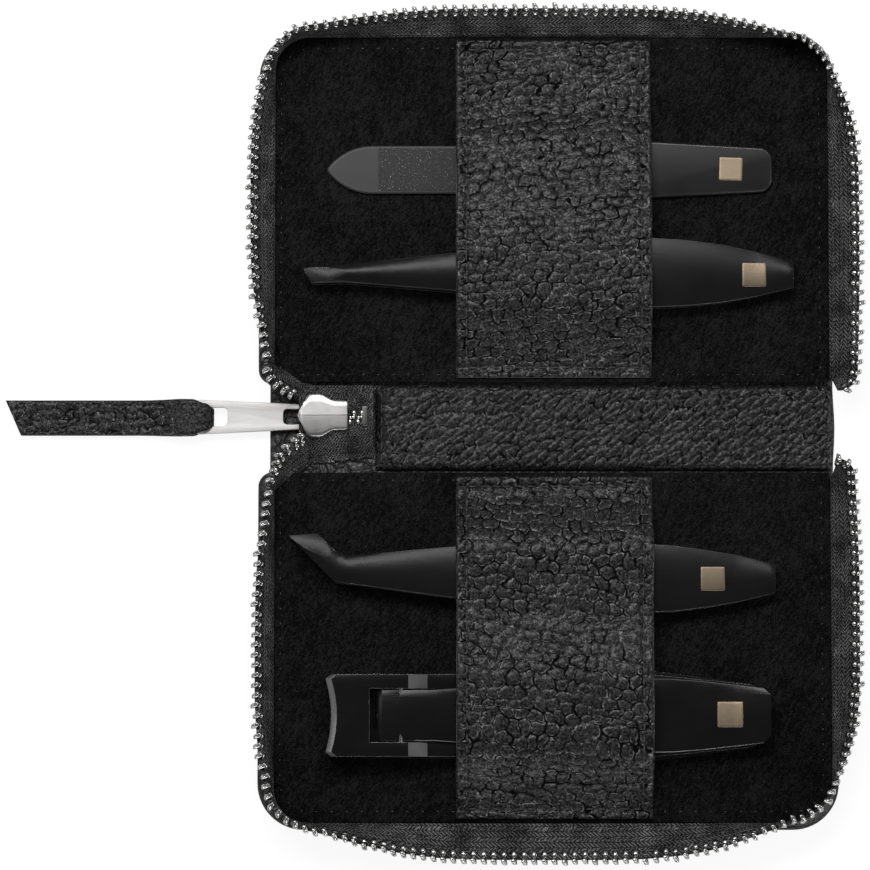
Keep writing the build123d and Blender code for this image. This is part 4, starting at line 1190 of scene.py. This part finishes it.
def strap(half, side, line, size, stretch, seed):
    """Strap with its edges, its needle holes and pebbles of a size and stretch in its mesh."""
    track, length = strap_track(line, side)

    def surface(u, v):
        point, normal = track(v)
        edge = min(u - strap_left, strap_right - u)
        wave = noise.noise(Vector((v * 0.09, seed, (u > 0) * 3.0))) * strap_sway
        sway = wave * (1 - min(edge / 4, 1))
        roll = max(1 - edge / strap_roll_reach, 0)
        end = max(1 - min(v, length - v) / strap_end_reach, 0)
        drop = strap_roll * roll**2 + strap_roll * end**2 + strap_holes(u, v, length)
        puff = noise.noise(Vector((u * 0.08, v * 0.1, seed + 9))) * strap_puff
        return point + Vector((u + sway * 0.6, 0, 0)) + normal * (puff - drop), normal

    def relief(u, v):
        edge = np.minimum(u - strap_left, strap_right - u)
        quiet = np.clip(edge / 0.8, 0, 1)
        return leather_relief(u, v, size, stretch, 0.1, seed) * quiet + 0.9 * (1 - quiet)

    columns = close_at_ends(strap_left, strap_right, (0, 0.06, 0.18, 0.36), 0.21)
    rows = close_at_ends(0.0, length, (0, 0.08, 0.22, 0.4), 0.21)
    made = relief_sheet(
        f"{half}_strap_leather", columns, rows, surface, strap_hide, f"{half}_half", relief, strap_relief,
    )
    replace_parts(made, f"{half}_strap")

    ring = [(strap_left, v) for v in rows] + [(u, length) for u in columns[1:]]
    ring += [(strap_right, v) for v in reversed(rows[:-1])] + [(u, 0.0) for u in reversed(columns[1:-1])]
    corners, faces = [], []
    for u, v in ring:
        point, normal = surface(u, v)
        height = float(relief(np.array(u), np.array(v)))
        corners += [point + normal * (height - 1) * strap_relief, point - normal * (strap_thick - 0.35)]
    count = len(ring)
    for k in range(count):
        a, b = 2 * k, 2 * ((k + 1) % count)
        faces.append((a, b, b + 1, a + 1))
    under_first = len(corners)
    for v in rows:
        for u in (strap_left, 0, strap_right):
            point, normal = track(v)
            corners.append(point + Vector((u, 0, 0)) - normal * (strap_thick - 0.02))
    faces += [(a, d, c, b) for a, b, c, d in grid_faces(len(rows), 3, under_first)]
    raw = mesh_piece(f"{half}_strap_raw_edge", corners, faces, raw_edge)
    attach(raw, f"{half}_half")

    seam_us = steps(strap_left + strap_seam_x, strap_right - strap_seam_x, 1.0)
    seam_vs = steps(strap_seam_v, length - strap_seam_v, 0.5)
    for name, places in (
        ("left", [(strap_left + strap_seam_x, v) for v in seam_vs]),
        ("right", [(strap_right - strap_seam_x, v) for v in seam_vs]),
        ("near", [(u, strap_seam_v) for u in seam_us]),
        ("far", [(u, length - strap_seam_v) for u in seam_us]),
    ):
        seam = [surface(u, v)[0] + Vector((0, 0, 0.12)) for u, v in places]
        stitches(
            f"{half}_strap_{name}_seam", seam, f"{half}_half", black_thread,
            pitch=strap_stitch, gap=0.7, thick=0.15,
        )


def raw_leather():
    """Cut edge of a hide, lighter than its dyed face."""
    shade = Shade("raw_leather_edge")
    fibres = shade.noise(shade.place(), 0.3, 4.0, 0.7)
    return shade.surface(
        height=fibres * 0.12,
        **{"Base Color": shade.mix(fibres, grey(0.03), grey(0.11)), "Roughness": 0.85},
    )


raw_edge = raw_leather()
strap_hide = hide_material("pebbled_strap_leather", 0.021, 0.48, 0.17)
strap("upper", 1, upper_strap_line, 1.9, (1.5, 1.0), 11)
strap("lower", -1, lower_strap_line, 2.25, (1.2, 1.0), 3)

# ---------------------------------------------------------------- leather tab
# Strip of the strap's leather, folded through the puller's far eye and glued to itself.
# It bulges over the puller's end bar, narrows to pass the eye, and its far end is cut slantwise.

tab_left, tab_slant, tab_slant_reach = -105.9, 3.0, 12
tab_half, tab_half_thick = 3.4, 0.5
tab_step = 0.24
tab_edge = 0.86  # share of the half width where the edge thins
tab_relief = 0.4
tab_smooth_x, tab_smooth_reach = -74.5, 2.5  # the hide is stretched smooth over the loop
tab_line = (
    (tab_left, 1.52), (-75.6, 1.52), (-71.6, 3.3), (-69.0, 3.5), (-66.4, 3.3), (-65.6, 2.2), (-65.9, 0.75),
    (-69.6, 0.55), (-75.6, 0.52), (tab_left, 0.52),
)
tab_widths = ((-80.0, 3.4), (-72.0, 3.55), (-69.5, 3.5), (-67.0, 2.7), (-65.2, 1.65))


def tab_width_at(x):
    """Half the strip's width at x, narrowing where it enters the eye."""
    for (x0, w0), (x1, w1) in zip(tab_widths, tab_widths[1:]):
        if x <= x1:
            share = min(max((x - x0) / (x1 - x0), 0), 1)
            return w0 + (w1 - w0) * share * share * (3 - 2 * share)
    return tab_widths[-1][1]


def leather_tab():
    """Rings of the strip's section, from its far end over the loop and back below."""
    line = rounded_line(tab_line, 1.0)
    path, gone = [line[0]], 0.0
    for a, b in zip(line, line[1:]):
        size = (b - a).length
        while size - gone > tab_step:
            gone += tab_step
            path.append(a.lerp(b, gone / size))
        gone -= size
    across = steps(-1, 1, 0.055)
    us, vs = np.meshgrid(np.array(across) * tab_half, np.arange(len(path)) * tab_step)
    relief = leather_relief(vs, us, 1.7, (1.3, 1.0), 0.1, 21)
    corners, heights = [], []
    for n, here in enumerate(path):
        way = (path[min(n + 2, len(path) - 1)] - path[max(n - 2, 0)]).normalized()
        out = Vector((-way.y, 0, way.x))
        half = tab_width_at(here.x)
        for outer in (True, False):
            for k, share in enumerate(across if outer else across[::-1]):
                column = k if outer else len(across) - 1 - k
                slant = tab_slant * (1 - share) / 2 * max(1 - (here.x - tab_left) / tab_slant_reach, 0)
                edge = max(abs(share) - tab_edge, 0) / (1 - tab_edge)
                thick = tab_half_thick * (1 - 0.55 * edge**2)
                plain = max(edge, min(max((here.x - tab_smooth_x) / tab_smooth_reach, 0), 0.75))
                height = relief[n, column] * (1 - plain) + 0.85 * plain
                lift = thick + (height - 1) * tab_relief if outer else -thick
                place = Vector((here.x + slant, chain_y - 0.1 + share * half, here.y))
                corners.append(place + out * lift)
                heights.append(height if outer else 0.6)
    faces = tube_faces(len(path), 2 * len(across))
    made = mesh_piece("pebbled_leather_tab", corners, faces, strap_hide)
    keep_relief(made, heights)
    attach(made, "tab")
    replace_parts(made, "puller_tab")


leather_tab()

# ---------------------------------------------------------------- nail file
# Stainless steel blank with a black satin coat; its blade is blasted and set with grit.
# A small champagne plate is let into the handle.

blade_end = 13.0  # the blade is bare to the left of it
file_round, grit_round = 0.15, 0.05
plate_marks = (-1, -0.98, -0.95, -0.8, -0.4, 0, 0.4, 0.8, 0.95, 0.98, 1)  # shares of its half width
plate_rise = {1: -0.12, 0.98: 0.04}  # of its rim and its bevel above the steel
plate_top = 0.06
plate_corner = 1.75  # where both shares add up to more, the corner is drawn in


def black_steel(name, level, gloss, shine, bare_x=None):
    """Black coated steel with a fine brushed finish; left of bare_x it is bare and blasted grey."""
    shade = Shade(name)
    brushed = shade.noise(shade.place((0.06, 3.0, 1)), 0.35, 3.0, 0.6)
    wear = shade.noise(shade.place(), 5.0, 3.0)
    coat = shade.mix(wear, grey(level * 0.7), grey(level * 1.4))
    rough = gloss + (brushed - 0.5) * 0.1 + (wear - 0.5) * 0.08
    if bare_x is not None:
        bare = ((shade.part(shade.place()) * -1 + bare_x) * 8).clamp()
        coat = shade.mix(bare, coat, grey(0.036))
        rough = rough + bare * 0.25
    return shade.surface(
        height=brushed * 0.006, **{"Base Color": coat, "Specular IOR Level": shine, "Roughness": rough}
    )


def grit_material():
    """Black grains set in lacquer, a few of which are smoother and painted light as sparkle."""
    shade = Shade("black_grit")
    where = shade.place()
    grains = shade.node("ShaderNodeTexVoronoi", {"Vector": where, "Scale": 7.0})
    sparkle = shade.node("ShaderNodeTexNoise", {"Vector": where, "Scale": 3.4, "Detail": 1.0})
    # painted glints: a few grains get a light grey colour, as well as a lower roughness
    bright = ((sparkle - 0.66) * 14).clamp() * (1 - grains)
    return shade.surface(
        height=grains * -0.16,
        **{
            "Base Color": shade.mix(bright, grey(0.018), grey(0.5)),
            "Roughness": 0.6 - bright * 0.3, "Specular IOR Level": 0.5,
        },
    )


def champagne():
    """Brushed champagne-coloured plating."""
    shade = Shade("champagne_plate")
    brushed = shade.noise(shade.place((0.1, 3.0, 1)), 0.2, 3.0, 0.6)
    marks = shade.noise(shade.place(), 0.9, 3.0, 0.6)
    return shade.surface(
        height=brushed * 0.01,
        **{
            "Base Color": shade.mix(brushed, (0.12, 0.095, 0.066, 1), (0.18, 0.145, 0.105, 1)),
            "Metallic": 1.0, "Roughness": 0.46 + (marks - 0.5) * 0.2,
        },
    )


def plate_on(name, carrier, middle, size, body, lean=0.0):
    """Plain square plate with a bevelled rim, bent to the steel that it is let into."""
    tree = bvhtree.BVHTree.FromObject(carrier, bpy.context.evaluated_depsgraph_get())
    corners, count = [], len(plate_marks)
    for b in plate_marks:
        for a in plate_marks:
            round_off = 0.08 * max(abs(a) + abs(b) - plate_corner, 0)
            x = a * (1 - round_off) * size / 2
            y = b * (1 - round_off) * size / 2
            x, y = middle[0] + x * cos(lean) - y * sin(lean), middle[1] + y * cos(lean) + x * sin(lean)
            steel = tree.ray_cast(Vector((x * MM, y * MM, 0.05)), Vector((0, 0, -1)))[0]
            rise = min(plate_rise.get(abs(a), plate_top), plate_rise.get(abs(b), plate_top))
            corners.append((x, y, steel.z / MM + rise))
    made = mesh_piece(name, corners, grid_faces(count, count), champagne_plate)
    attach(made, body)


champagne_plate = champagne()
file_steel = black_steel("file_black_steel", 0.005, 0.36, 0.13, blade_end)
# painted highlights: the file's rounded edges get a lighter, shinier steel than its faces
file_edge_highlight = black_steel("painted_highlight_on_file_edge", 0.01, 0.3, 0.4, blade_end)
file_made = softened("file_blade", "file_steel_blank", file_round, file_steel, 3, file_edge_highlight)
softened("file_grit", "file_grit_field", grit_round, grit_material())
plate_on("file_plate", file_made, (35.4, 50.5), 4.6, "nail_file", radians(-2))

# ---------------------------------------------------------------- slant tweezers
# Two sprung arms of crowned black steel welded at the rear, with slanting ground tips.
# The upper arm carries the champagne plate.

steel_round = 0.2
tweezer_steel = black_steel("tweezers_black_steel", 0.004, 0.29, 0.105)
# painted highlights: the rounded edges of the tweezers and the clipper, and some steep faces of the clipper,
# get a far lighter, shinier steel
steel_edge_highlight = black_steel("painted_highlight_on_steel_edge", 0.045, 0.25, 1.0)


def tweezers(kind, plate_middle):
    """Both arms of a pair of tweezers, the upper one with its plate."""
    for arm in ("lower", "upper"):
        node_name, made_name = f"{kind}_tweezers_{arm}_arm", f"{kind}_{arm}_arm_steel"
        made = softened(node_name, made_name, steel_round, tweezer_steel, 3, steel_edge_highlight)
    plate_on(f"{kind}_tweezers_plate", made, plate_middle, 4.7, f"{kind}_tweezers_arm")


tweezers("slant", (39.65, 29.4))

# ---------------------------------------------------------------- angled tweezers
# The same kind of arms, bent sideways at an elbow to a broad slanting tip.
# They are ground and coated like the slant pair, and their plate sits further forward.

tweezers("angled", (31.3, -29.7))

# ---------------------------------------------------------------- nail clipper
# Two sprung arms with curved cutting edges, riveted at the rear, and a crowned lever.
# The lever turns on an axle between the upper arm's rails and presses on a riveted post.

lever_round = 0.26
clipper_steel = black_steel("clipper_black_steel", 0.003, 0.2, 0.13)
# steep gives how far an upper face may lean left, right and to either side before it takes the painted
# highlight steel: bright bands on the upper arm's rail steps and on the lever's sides
for node_name, made_name, radius, steep in (
    ("clipper_lower_arm", "clipper_lower_arm_steel", steel_round, (never, never, never)),
    ("clipper_upper_arm", "clipper_upper_arm_steel", steel_round, (0.1, 0.1, never)),
    ("clipper_lever", "clipper_lever_steel", lever_round, (never, 0.3, 0.5)),
):
    lever_made = softened(node_name, made_name, radius, clipper_steel, 3, steel_edge_highlight, steep)
plate_on("clipper_plate", lever_made, (34.5, -55.9), 5.0, "clipper_lever")
pin_nickel = nickel("polished_pins", 0.12, 0.3)
for node_name in ("clipper_axle", "clipper_post", "clipper_rivet"):
    dress(node_name, pin_nickel)

bpy.context.scene.view_settings.view_transform = "Standard"
